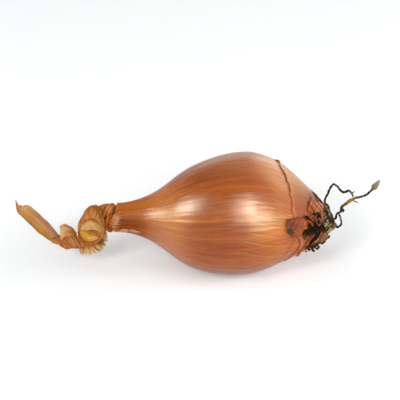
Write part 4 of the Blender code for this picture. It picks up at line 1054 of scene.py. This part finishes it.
def build_flakes():
    lumps = lambda a, b: (lambda u, v, s: a * np.sin(b * u + 1) * np.sin(b * v) + a * 0.6 * np.sin(2.1 * b * u - b * v) + 0.05 * s**4)
    pink = skin_material("flake_skin", lit(168, 97, 56), lit(132, 68, 36), lit(86, 38, 22), 0.5, 1.0, 0.75, lit(60, 24, 18), 0.35)

    r = np.random.default_rng(31)
    fine_specks = [(15.6 + 5.0 * q**1.6, 14.0 - 3.2 * w**1.3, 0.06 + 0.08 * z) for q, w, z in r.uniform(0, 1, (34, 3))]

    def speckle(u, v, s):
        out = 0 * u
        for a, b, size in fine_specks:
            out = np.maximum(out, 0.8 * np.exp(-((np.hypot((u - a) * 0.7, v - b) / size) ** 2)))
        for a, b, size in SPECKS:
            out = np.maximum(out, np.exp(-((np.hypot(u - a, v - b) / size) ** 2)))
        edge = 0.60 * smooth(0.90, 1.0, s) * smooth(13.0, 14.2, v) + 0.30 * smooth(0.80, 1.0, s) * smooth(17.6, 16.0, u) * smooth(11.5, 13.0, v)
        return np.clip(0.95 * out + edge, 0, 1)

    skins(
        "flake_spotted_skin",
        [
            (SPOTTED, 0.13, 0.16, 70, lumps(0.05, 2.0), lambda u, v, s: 0.34 + 0.26 * smooth(17, 19.5, u) + 0.15 * np.sin(2 * v), lambda u, v, s: 0.12 + 0.20 * smooth(18, 21, u) + 0.25 * smooth(12.5, 9.5, v), speckle, 15),
            # the hole: a dark patch laid over the flake, painted shade of the opening
            (SPOTTED_HOLE, 0.10, 0.30, 16, lumps(0.04, 6.0), 0.15, 0.0, lambda u, v, s: 0.80 + 0.25 * np.sin(9 * u) * np.sin(8 * v), 60),
        ],
        pink, ["flake_spotted"],
    )
    skins(
        "flake_lifted_strip",
        [
            (STRIP, 0.08, 0.52, 30, lambda u, v, s: 0.20 * np.exp(-(((u + v - 41.3) / 0.5) ** 2)) + 0.10 * s**3, lambda u, v, s: 0.42 + 0.20 * np.sin(3.1 * (u + v - 41.0)) + 0.12 * np.sin(9 * (u + v)) + 0.12 * np.sin(5 * u - 2 * v), 0.15, lambda u, v, s: 0.45 * smooth(0.95, 1.0, s), -48),
            # the hollow under the lifted strip grows darker towards the strip: painted shade in the recess
            (HOLLOW, 0.08, 0.22, 20, lumps(0.03, 4.0), 0.35, lambda u, v, s: 0.85 + 0 * u, lambda u, v, s: 0.80 * smooth(22.7, 23.6, u) * smooth(0.0, 0.6, s) + 0.35 * smooth(0.9, 1, s), -50),
        ],
        skin_material("strip_skin", lit(216, 150, 114), lit(170, 98, 64), lit(116, 52, 28), 0.40, 1.0, 0.1, lit(80, 36, 24), 0.3, 0.5),
        ["flake_lifted"],
    )
    strands(
        "torn_lip", TORN_LIP,
        skin_material("lip_skin", lit(218, 124, 58), lit(190, 94, 28), lit(144, 60, 12), 0.6, 1.2, 0.05, lit(80, 36, 24), 0.3, 0.1),
        ["base_skin"], 0.12, 230, 26,
    )
    strands(
        "slit_ridges", SLIT_RIDGES,
        skin_material("ridge_skin", lit(212, 150, 120), lit(172, 98, 62), lit(66, 26, 12), 0.5, 1.2, 0.1, lit(80, 36, 24), 0.3),
        ["flake_lifted"], 0.15, 210,
    )
    skins(
        "torn_amber_skin",
        [
            (TORN_AMBER, 0.15, 0.24, 24, lumps(0.08, 3.0), 0.55, 0.75, lambda u, v, s: 0.3 * smooth(0.9, 1.0, s), -30),
            (STRIP_LOW, 0.08, 0.30, 24, lumps(0.05, 3.0), 0.75, lambda u, v, s: 0.55 + 0 * u, lambda u, v, s: 0.25 * smooth(0.9, 1.0, s), 52),
        ],
        skin_material("amber_skin", lit(214, 128, 80), lit(190, 100, 56), lit(140, 62, 30), 0.45, 1.2, 0.25, lit(80, 30, 18), 0.4),
        ["flake_dark"],
    )
    black = skin_material("black_skin", lit(150, 112, 72), lit(66, 34, 18), lit(12, 6, 4), 0.75, 1.3, 0.5, relief=0.8, spec=0.08)
    r = np.random.default_rng(5)
    shreds = [(path, 0.12, 0.0, 0.55) for path in BLACK_BARS]
    for i in range(34):  # fibres of the mat, from the plate outwards
        u0, v0 = r.uniform(23.6, 26.2), r.uniform(10.2, 16.0)
        u0 = u0 - 0.22 * max(0, v0 - 13) ** 1.3
        turn = math.radians(r.normal(235, 30))
        reach = r.uniform(0.9, 2.2)
        path = []
        for f in (0, 0.35, 0.7, 1.0):
            bend = 0.35 * math.sin(3 * f + i)
            path.append((u0 + math.cos(turn + bend) * reach * f, v0 + math.sin(turn + bend) * reach * f, r.uniform(0.2, 0.7), r.uniform(0.07, 0.17) * (1.15 - f)))
        shreds.append((path, r.choice([0.1, 0.3, 0.6, 0.95], p=[0.4, 0.25, 0.2, 0.15]), r.choice([0.0, 0.35], p=[0.7, 0.3]), r.uniform(0, 0.4)))
    strands("mat_shreds", shreds, black, ["flake_dark"], 0.30, 100)
    skins(
        "flake_dark_skin",
        [
            (DARK_FLAKE, 0.20, 0.45, 34, lambda u, v, s: 0.30 * np.sin(3.1 * (u * 0.7 + v * 0.7)) * (1 - s) + 0.12 * np.sin(7 * (u - 0.6 * v)), lambda u, v, s: 0.30 + 0.45 * smooth(10.2, 8.3, v) + 0.30 * np.exp(-(((u - 23.0) / 0.5) ** 2 + ((v - 9.9) / 0.9) ** 2)), lambda u, v, s: 0.35 * smooth(9.6, 8.3, v), lambda u, v, s: np.clip(0.95 * smooth(8.9, 10.3, v + 0.35 * (u - 22)) * (0.7 + 0.3 * np.sin(5 * u)) + 0.3 * np.sin(6 * (u - 0.6 * v)), 0, 0.95), 60),
            (MAT, 0.22, 0.38, 30, lambda u, v, s: 0.20 * np.sin(4 * u + 2 * v) + 0.12 * np.sin(9 * v + u), lambda u, v, s: 0.45 + 0.3 * np.sin(6 * u - 2 * v), 0.0, lambda u, v, s: 0.45 + 0.4 * np.sin(5 * u + 3 * v), 100),
        ],
        black, ["flake_dark"],
    )
    skins(
        "flake_lower_skin",
        [
            (WEDGE, 0.14, 0.52, 34, lambda u, v, s: 0.28 * np.sin(2.6 * (u * 0.75 - v * 0.6)) + 0.10 * np.sin(8 * (u * 0.75 - v * 0.6)), lambda u, v, s: 0.50 + 0.35 * np.sin(4.2 * (u * 0.75 - v * 0.6)), 0.10, lambda u, v, s: 0.55 * smooth(0.88, 1.0, s) + 0.35 * smooth(0.6, 1.0, np.sin(4.2 * (u * 0.75 - v * 0.6) + 3.6)), 55),
            (WEDGE_2, 0.12, 0.85, 18, lumps(0.08, 4.0), 0.75, 0.05, lambda u, v, s: 0.35 * smooth(0.9, 1.0, s), 60),
        ],
        skin_material("brown_skin", lit(196, 132, 88), lit(144, 84, 52), lit(62, 30, 18), 0.6, 1.2, 0.45, lit(24, 10, 6), 0.6),
        ["flake_lower"],
    )
    strands(
        "brown_shreds", BROWN_SHREDS,
        skin_material("shred_skin", lit(190, 122, 84), lit(142, 78, 50), lit(84, 38, 24), 0.6, 1.3, 0.35, lit(24, 10, 6), 0.6),
        ["flake_dark"], 0.62, 260, 22,
    )
    more = [(path, 0.25, 0.15, 0.35) for path in CRUMBS]
    for i in range(16):
        u0, v0 = r.uniform(21.6, 28.0), 0
        v0 = 5.1 + 0.62 * (u0 - 22.0) + r.uniform(-0.5, 0.5)
        turn = r.uniform(0, 6.28)
        reach = r.uniform(0.4, 1.1)
        more.append(([(u0, v0, 0.1, 0.12), (u0 + math.cos(turn) * reach * 0.5, v0 + math.sin(turn) * reach * 0.5, 0.2, 0.24), (u0 + math.cos(turn) * reach, v0 + math.sin(turn) * reach, 0.1, 0.08)], r.uniform(0, 0.7), r.uniform(0, 0.5), r.uniform(0, 0.5)))
    strands("ragged_crumbs", more, black, ["flake_ragged"], 0.1, 300)

    # the same shredded skin goes on round the rest of the root end
    parts = []
    for i in range(90):
        deg = r.uniform(125, 395)
        x0 = r.uniform(24.4, 26.2)
        x1 = x0 - r.uniform(0.8, 3.2)
        drift = r.normal(0, 9)
        path = []
        for f in (0, 0.3, 0.65, 1.0):
            a = math.radians(deg + drift * f + 4 * math.sin(4 * f + i))
            q = bulb_point(x0 * (1 - f) + x1 * f, a) + np.array([0, -math.sin(a), math.cos(a)]) * r.uniform(0.45, 0.8)
            w = r.uniform(0.10, 0.30) * (1.1 - f)
            path.append((*to_lean(q), w, w * 0.6))
        a = math.radians(deg)
        verts, faces, al, along, both, fib = tube(path, 7, 14, flat=np.array([0, -math.sin(a), math.cos(a)]), wobble=0.05, seed=700 + i)
        tone, warm, dark = r.choice([0.15, 0.4, 0.9]), r.choice([0.0, 0.5]), r.uniform(0, 0.4)
        parts.append((verts, faces, {"fib": fib + [5.0 * i, 0, 0], "tone": both(tone + 0 * al), "warm": both(warm + 0 * al), "dark": both(dark + 0 * al)}))
    verts, faces, attrs = join(parts)
    make("mat_shreds_round", verts, faces, black, ["flake_ragged"], attrs)


def cork_material():
    k = Nodes("cork_plate")
    at = k.scaled(k.coords(), (1000, 1000, 1000))
    fib = k.attr("fib", vector=True)
    crumbs = k.noise(at, 1.5, 5, 0.7)
    holes = k.noise(at, 2.1, 4, 0.6, 0.6)
    grain = k.noise(k.scaled(fib, (1.0, 0.25, 1.0)), 2.6, 4, 0.65)
    tone = k.math("ADD", k.attr("tone"), k.map(crumbs, 0.3, 0.7, -0.32, 0.32))
    tone = k.math("ADD", tone, k.map(grain, 0.35, 0.65, -0.22, 0.22))
    base = k.ramp(tone, [(0.0, lit(52, 32, 18)), (0.3, lit(140, 106, 60)), (0.6, lit(210, 184, 128)), (1.0, lit(244, 228, 176))])
    base = k.mix(k.map(holes, 0.56, 0.61, 0.0, 0.92), base, (0.004, 0.003, 0.002))
    base = k.mix(k.attr("warm"), base, lit(150, 88, 40))
    base = k.mix(k.attr("dark"), base, (0.004, 0.003, 0.002))
    bump = k.bump(crumbs, 0.9, 0.0006)
    bump = k.bump(grain, 0.6, 0.0003, bump)
    return k.set(Base_Color=base, Roughness=0.85, Normal=bump, Specular_IOR_Level=0.10)


def root_material():
    k = Nodes("dry_root")
    fib = k.attr("fib", vector=True)
    line = k.noise(k.scaled(fib, (1.0, 0.3, 1.0)), 4.0, 3, 0.6)
    knots = k.noise(k.scaled(fib, (0.3, 1.0, 1.0)), 1.6, 4, 0.7)
    tone = k.math("ADD", k.attr("tone"), k.map(knots, 0.35, 0.65, -0.16, 0.16))
    base = k.ramp(tone, [(0.0, (0.003, 0.002, 0.002)), (0.35, lit(70, 38, 14)), (0.7, lit(150, 102, 40)), (1.0, lit(190, 146, 76))])
    base = k.mix(k.attr("warm"), base, lit(206, 186, 142))
    base = k.mix(k.map(line, 0.55, 0.7, 0.0, 0.35), base, (0.02, 0.012, 0.006))
    base = k.mix(k.attr("dark"), base, (0.010, 0.006, 0.004))
    bump = k.bump(line, 0.5, 0.0002)
    return k.set(Base_Color=base, Roughness=0.65, Normal=bump, Specular_IOR_Level=0.12)


PLATE_FACE = (0.90, 0.15, 0.39)
PLATE_RINGS = [
    (25.6, 0.25, 14.6, 4.3, 0.0), (26.5, 0.3, 14.8, 4.15, 0.05), (27.2, 0.5, 15.3, 4.05, 0.35), (28.0, 0.8, 16.0, 3.9, 0.75),
    (28.8, 1.0, 16.55, 3.6, 1.0), (29.2, 1.1, 16.75, 2.6, 1.0), (29.25, 1.1, 16.78, 1.2, 1.0), (29.2, 1.1, 16.76, 0.15, 1.0),
]


def build_plate():
    out = Vector(PLATE_FACE).normalized()
    rows, cols = 70, 150
    at = np.linspace(0, len(PLATE_RINGS) - 1, rows)
    st = spline(np.c_[np.arange(len(PLATE_RINGS)), PLATE_RINGS], at)
    a = np.linspace(0, 2 * math.pi, cols, endpoint=False)
    rings, frames = [], []
    for x, y, z, radius, share in st:
        normal = Vector((1, 0, 0)).lerp(out, float(np.clip(share, 0, 1))).normalized()
        side = Vector((0, -1, 0)).cross(normal).normalized()
        across = normal.cross(side)
        ring = np.array([x, y, z]) + radius * (np.outer(np.cos(a), side) + np.outer(np.sin(a), across))
        rings.append(ring)
        frames.append(np.array(normal))
    rings = np.array(rings)
    frames = np.array(frames)[:, None]
    outward = rings - st[:, None, :3]
    outward /= np.linalg.norm(outward, axis=-1, keepdims=True) + 1e-6
    face = smooth(3.6, 5.2, at)[:, None]
    lump = fbm(rings, 1.1, 31, 3) * 0.34 + np.abs(fbm(rings, 2.6, 32, 2)) * 0.25 - 0.12
    grooves = 0.16 * np.cos(24 * a + 2 * np.sin(3 * a))[None] * (1 - face)
    move = (outward * (1 - face[..., None]) + frames * face[..., None]) * (lump + grooves)[..., None]
    rings = rings + move * smooth(0.0, 0.6, at)[:, None, None]
    verts, faces = closed_loft(rings)
    both = lambda v: np.concatenate([np.broadcast_to(v, (rows, cols)).ravel(), [0.3, 0.3]])
    fib = np.stack([both(a[None] * 4), both(at[:, None] * 1.2), both(0 * a[None])], -1)
    p = to_lean(rings)
    band = smooth(2.4, 3.4, at)[:, None] * smooth(-0.2, 0.2, np.sin(2.2 * (p[..., 0] + 0.45 * p[..., 1]) + 1.0))
    rim_band = np.exp(-(((at - 1.6) / 1.1) ** 2))[:, None]
    tone = np.clip(0.40 + 0.42 * rim_band + 0.15 * fbm(rings, 0.9, 8) - 0.25 * face, 0, 1)
    dark = np.clip(0.92 * smooth(0.15, 0.6, -fbm(rings, 1.5, 44, 2) * 0.9 + 0.72 * face - 0.12), 0, 0.95)
    across_gap = (p[..., 0] - 27.55) * 0.916 + (p[..., 1] - 15.55) * 0.401 + 0.12 * np.sin(3 * p[..., 1])
    gap = np.exp(-((across_gap / 0.5) ** 4)) * smooth(12.4, 13.2, p[..., 1]) * smooth(17.6, 16.6, p[..., 1]) * smooth(0.0, 0.4, outward @ OUT)
    dark = np.clip(np.maximum(dark * (1 - 0.6 * np.exp(-(((across_gap + 1.1) / 0.6) ** 2))), 0.96 * gap), 0, 0.96)
    warm = 0.55 * smooth(0.1, 0.6, fbm(rings, 1.2, 51)) * smooth(3.2, 4.4, at)[:, None]
    parts = [(verts, faces, {"fib": fib, "tone": both(tone), "dark": both(dark), "warm": both(warm)})]
    r = np.random.default_rng(77)
    centre = np.array(PLATE_RINGS[4][:3])
    side = np.array(Vector((0, -1, 0)).cross(out).normalized())
    across = np.array(out.cross(Vector(side)))
    o = np.array(out)
    for i in range(18):  # broken roots: a ring of stubs round the face and a few on it
        ang = r.uniform(0, 6.28)
        rad = r.uniform(2.7, 3.6) if i % 4 else r.uniform(0.4, 2.2)
        foot = centre + rad * (math.cos(ang) * side + math.sin(ang) * across) - o * 0.5
        lean_out = (math.cos(ang) * side + math.sin(ang) * across) * r.uniform(0, 0.35)
        length = r.uniform(0.6, 1.25)
        w = r.uniform(0.20, 0.48)
        path = [(*to_lean(foot + (o + lean_out) * length * f + across * 0.1 * math.sin(3 * f + i)), w * k, w * k * 0.8) for f, k in ((0, 1.2), (0.5, 1.0), (1.0, 0.85), (1.25, 0.55))]
        verts, faces, al, along, both2, fib = tube(path, 9, 12, relief=lambda a, g: 0.16 * np.cos(3 * a + i) + 0.1 * np.cos(7 * a), wobble=0.03, seed=i)
        parts.append((verts, faces, {"fib": fib, "tone": both2(r.uniform(0.25, 0.95) + 0 * al), "dark": both2(r.choice([0.0, 0.2, 0.95], p=[0.25, 0.25, 0.5]) * np.ones_like(al)), "warm": both2(r.choice([0.0, 0.5]) * np.ones_like(al))}))
    for i in range(40):  # fibres wound over the rim and the face
        ang = r.uniform(0, 6.28)
        sweep = r.normal(0, 0.5)
        path = []
        for f in (0, 0.33, 0.66, 1.0):
            q = ang + sweep * f
            level = r.uniform(0.3, 0.6) + f * (r.uniform(1.6, 2.6) if i % 3 else r.uniform(3.6, 4.8))
            row = int(np.clip(level / (len(PLATE_RINGS) - 1) * rows, 0, rows - 1))
            col = int((q % (2 * math.pi)) / (2 * math.pi) * cols) % cols
            n = outward[row, col] * (1 - face[row, 0]) + frames[row, 0] * face[row, 0]
            w = r.uniform(0.09, 0.19)
            path.append((*to_lean(rings[row, col] + n * 0.10), w, w * 0.7))
        verts, faces, al, along, both2, fib = tube(path, 7, 18, wobble=0.05, seed=40 + i)
        k = r.uniform(0, 1)
        parts.append((verts, faces, {"fib": fib, "tone": both2(k + 0 * al), "dark": both2((0.9 if k < 0.35 or not i % 3 else 0.0) + 0 * al), "warm": both2((0.6 if 0.35 < k < 0.6 else 0.0) + 0 * al)}))
    verts, faces, attrs = join(parts)
    make("root_plate_cork", verts, faces, cork_material(), ["root_plate"], attrs)


# (x, y, z, radius, how brown)
LONG_ROOT = [
    (29.0, 1.4, 15.3, 0.31, 0.1), (30.3, 1.6, 15.4, 0.33, 0.35), (30.8, 2.0, 16.8, 0.32, 0.1), (31.7, 2.2, 17.3, 0.35, 0.45), (32.15, 2.4, 17.6, 0.42, 0.3),
    (32.35, 2.45, 17.85, 0.66, 0.0), (32.3, 2.45, 18.2, 0.50, 0.05), (32.1, 2.5, 18.5, 0.42, 0.3), (32.7, 2.9, 19.2, 0.42, 0.5), (34.0, 3.4, 19.9, 0.47, 0.75),
    (35.2, 4.0, 20.6, 0.50, 0.8), (35.6, 4.1, 20.7, 0.40, 0.6), (36.7, 4.6, 21.0, 0.35, 0.5), (37.4, 4.8, 20.95, 0.39, 0.55), (38.0, 5.0, 21.0, 0.31, 0.25),
    (39.5, 5.4, 21.3, 0.32, 0.2), (40.8, 5.9, 22.3, 0.32, 0.2), (41.5, 6.2, 22.9, 0.35, 0.45),
]
LOOPED_ROOT = [
    (27.3, 3.2, 18.6, 0.30, 0.5), (27.2, 3.8, 20.2, 0.33, 0.45), (27.3, 4.0, 20.9, 0.30, 0.2), (27.9, 4.4, 22.4, 0.34, 0.05), (28.7, 4.9, 24.1, 0.33, 0.0), (29.8, 5.2, 25.3, 0.30, 0.0),
    (30.9, 5.2, 24.6, 0.30, 0.15), (31.7, 5.1, 23.3, 0.33, 0.1), (32.6, 5.0, 22.6, 0.34, 0.0), (33.5, 5.1, 22.6, 0.35, 0.0), (34.45, 5.3, 23.05, 0.31, 0.15),
    (34.75, 5.3, 22.9, 0.28, 0.3), (35.2, 5.3, 22.2, 0.25, 0.4), (35.6, 5.2, 21.4, 0.24, 0.6), (35.8, 4.9, 20.9, 0.19, 0.6),
]
SHORT_ROOT = [
    (29.6, 0.2, 13.6, 0.33, 0.1), (31.1, 0.0, 13.4, 0.33, 0.0), (31.8, 0.1, 13.8, 0.33, 0.0), (32.15, 0.6, 14.5, 0.28, 0.1),
    (32.0, 1.1, 15.5, 0.25, 0.4), (31.6, 1.5, 16.3, 0.25, 0.2), (31.2, 2.0, 16.9, 0.22, 0.1),
]
TWIGS = [
    [(35.5, 4.3, 20.6, 0.24, 0.6), (36.0, 4.2, 20.1, 0.19, 0.5), (36.7, 4.2, 19.8, 0.16, 0.4), (37.2, 4.2, 19.5, 0.08, 0.3)],
    [(35.35, 5.2, 22.0, 0.14, 0.6), (35.7, 5.3, 22.4, 0.17, 0.55), (36.1, 5.4, 22.7, 0.07, 0.4)],
    [(37.0, 4.7, 21.0, 0.12, 0.5), (37.3, 4.6, 20.7, 0.06, 0.5)],
]


def root_tube(path, seed, sides=16, per_mm=9):
    q = np.array(path, float)
    length = np.linalg.norm(np.diff(q[:, :3], axis=0), axis=1).sum()
    st = [(*to_lean(p[:3]), p[3], p[3]) for p in q]
    knots = lambda a, g: 0.10 * np.cos(3 * a + g) + 0.09 * np.cos(4.7 * g + seed) + 0.08 * np.cos(9.3 * g + 2 * seed) + 0.05 * np.cos(5 * a - 3 * g)
    verts, faces, a, along, both, fib = tube(st, sides, int(length * per_mm) + 8, relief=knots, wobble=0.07, seed=seed)
    where = np.r_[0, np.cumsum(np.linalg.norm(np.diff(q[:, :3], axis=0), axis=1))] / length
    tone = np.interp(along, where, q[:, 4])
    # darker on the side of each root that faces down and back: painted shade
    return verts, faces, {"fib": fib, "tone": both(tone), "warm": both(0 * a), "dark": both(0.15 * (1 - np.sin(a)) * 0.5)}


def build_roots():
    mat = root_material()
    parts = [root_tube(LONG_ROOT, 3), root_tube(TWIGS[0], 5, 8), root_tube(TWIGS[2], 6, 8)]
    # the bud at its end: a spindle of overlapping scales
    foot, tip = np.array([41.45, 6.15, 22.85]), np.array([43.85, 7.35, 25.55])
    axis = (tip - foot) / np.linalg.norm(tip - foot)
    wide = np.cross(axis, OUT)
    wide /= np.linalg.norm(wide)
    thick = np.cross(axis, wide)
    rows, cols = 70, 40
    t = np.linspace(0, 1, rows)[:, None]
    a = np.linspace(0, 2 * math.pi, cols, endpoint=False)[None]
    girth = np.interp(t, [0, 0.08, 0.2, 0.34, 0.5, 0.7, 0.88, 0.96, 1.0], [0.32, 0.52, 0.84, 0.92, 0.78, 0.58, 0.34, 0.18, 0.04])
    scales = ((t * 5.5 + 0.5 * ((a * 4 / 6.283) % 1 > 0.5)) % 1)
    girth = girth * (1 + 0.20 * (scales - 0.5) * (1 - t) + 0.05 * np.cos(9 * a))
    rings = foot + (tip - foot) * t[..., None] + (wide * np.cos(a)[..., None] + thick * np.sin(a)[..., None]) * girth[..., None]
    verts, faces = closed_loft(rings)
    both = lambda v: np.concatenate([np.broadcast_to(v, (rows, cols)).ravel(), [0.3, 0.3]])
    edges = smooth(0.30, 0.46, np.abs((a * 8 / 6.283) % 1 - 0.5)) * smooth(0.05, 0.2, t) * smooth(0.98, 0.8, t)
    shade = np.maximum(smooth(0.48, 0.10, scales) * (1 - 0.45 * t), 0.8 * edges)
    parts.append((verts, faces, {"fib": np.stack([both(a * 0.8), both(t * 3.4), both(0 * a)], -1), "tone": both(0.6 + 0 * a * t), "warm": both(0.50 + 0.40 * t + 0 * a), "dark": both(np.clip(1.0 * shade + 0.35 * smooth(0.1, 0.0, t), 0, 1))}))
    verts, faces, attrs = join(parts)
    make("long_root_dry", verts, faces, mat, ["long_root"], attrs)
    verts, faces, attrs = join([root_tube(LOOPED_ROOT, 8), root_tube(TWIGS[1], 9, 8)])
    make("looped_root_dry", verts, faces, mat, ["looped_root"], attrs)
    verts, faces, attrs = root_tube(SHORT_ROOT, 12)
    make("short_root_dry", verts, faces, mat, ["short_root"], attrs)


build_bulb()
build_base_skin()
build_curl()
build_frayed()
build_tip_leaf()
build_neck()
build_flakes()
build_plate()
build_roots()

# ============================================================================ studio
FRAME_MM = 120.0  # the picture's width at the bulb
LENS, DIST = 135.0, 450.0
ELEVATION = math.radians(30)
C = Vector((0, -math.cos(ELEVATION), math.sin(ELEVATION)))
TARGET = Vector((-10.5, 1.95, 21.48))
cam_data = bpy.data.cameras.new("camera")
cam_data.lens = LENS
cam_data.sensor_width = 36
cam_data.clip_start, cam_data.clip_end = 0.01, 20
cam = bpy.data.objects.new("camera", cam_data)
cam.location = (TARGET + C * DIST) * MM
cam.rotation_mode = "QUATERNION"
cam.rotation_quaternion = (-C).to_track_quat("-Z", "Y")
scene.collection.objects.link(cam)
scene.camera = cam

floor_data = bpy.data.meshes.new("floor")
S = 3.0
N = 9
fv = [(-S + 2 * S * i / (N - 1), -S + 2 * S * j / (N - 1), 0.0) for j in range(N) for i in range(N)]
floor_data.from_pydata(fv, [], grid_faces(N, N))
floor_data.materials.append(floor_material())
floor = bpy.data.objects.new("floor", floor_data)
scene.collection.objects.link(floor)


def softbox(name, azimuth, elevation, width, height, radiance, soft=True, sheen=True, colour=(1, 1, 1)):
    """Area light a metre away that looks at the bulb. Azimuth 0 is on the camera's side, positive to the right.
    soft: it lights the surfaces. sheen: it shows in their gloss."""
    data = bpy.data.lights.new(name, "AREA")
    data.shape = "RECTANGLE"
    data.size, data.size_y = width, height
    data.energy = math.pi * width * height * radiance
    data.color = colour
    made = bpy.data.objects.new(name, data)
    a, e = math.radians(azimuth), math.radians(elevation)
    d = Vector((math.sin(a) * math.cos(e), -math.cos(a) * math.cos(e), math.sin(e)))
    made.location = Vector((0.002, 0, 0.018)) + d
    made.rotation_mode = "QUATERNION"
    made.rotation_quaternion = d.to_track_quat("Z", "Y")
    made.visible_camera = False
    made.visible_diffuse = soft
    made.visible_glossy = sheen
    scene.collection.objects.link(made)
    return made


softbox("soft_front", 24, 31, 0.66, 0.50, 2.3, sheen=False)
softbox("soft_front_low", 10, 27, 0.30, 0.26, 7.9, sheen=False)
softbox("soft_front_left", -36, 34, 0.45, 0.45, 9.0, sheen=False)
softbox("soft_left", -95, 12, 0.50, 0.40, 5.2, sheen=False)
softbox("soft_left_high", -100, 60, 0.60, 0.50, 2.0, sheen=False)
softbox("soft_right", 90, 15, 0.60, 0.40, 15.5, sheen=False)
softbox("soft_top", 4, 68, 0.50, 0.50, 1.2, sheen=False)
softbox("sheen_right", 23, 32, 0.52, 0.44, 26.0, soft=False, colour=(0.96, 1.0, 0.97))
softbox("sheen_right_low", 40, 10, 0.44, 0.26, 27.0, soft=False, colour=(0.96, 1.0, 0.97))
softbox("sheen_right_high", 15, 48, 0.28, 0.25, 17.0, soft=False)
softbox("sheen_right_mid", 17, 27, 0.24, 0.26, 13.0, soft=False)
softbox("sheen_left", -76, 25, 0.28, 0.22, 52.0, soft=False, colour=(0.96, 1.0, 0.97))
softbox("sheen_left_high", -66, 34, 0.30, 0.20, 23.0, soft=False, colour=(0.96, 1.0, 0.97))
softbox("sheen_left_low", -95, 12, 0.50, 0.40, 2.0, soft=False)
softbox("sheen_side", 60, 45, 0.50, 0.40, 1.9, soft=False)
softbox("rim_right", 150, 12, 0.60, 0.40, 1.6)
softbox("rim_back", 180, 15, 1.0, 0.40, 1.0, soft=False)

world = bpy.data.worlds.new("studio")
world.use_nodes = True
wt = world.node_tree
bg = wt.nodes["Background"]
tc = wt.nodes.new("ShaderNodeTexCoord")
sep = wt.nodes.new("ShaderNodeSeparateXYZ")
wt.links.new(tc.outputs["Generated"], sep.inputs[0])
wr = wt.nodes.new("ShaderNodeValToRGB")
wt.links.new(sep.outputs["Z"], wr.inputs["Fac"])
wr.color_ramp.elements[0].position = 0.30
wr.color_ramp.elements[0].color = (1.0, 1.0, 1.0, 1)
wr.color_ramp.elements[1].position = 0.74
wr.color_ramp.elements[1].color = (0.06, 0.06, 0.06, 1)
wt.links.new(wr.outputs["Color"], bg.inputs["Color"])
bg.inputs["Strength"].default_value = 0.62
scene.world = world
scene.view_settings.view_transform = "Standard"
scene.view_settings.look = "None"
scene.view_settings.exposure = 0.0
scene.view_settings.gamma = 1.0
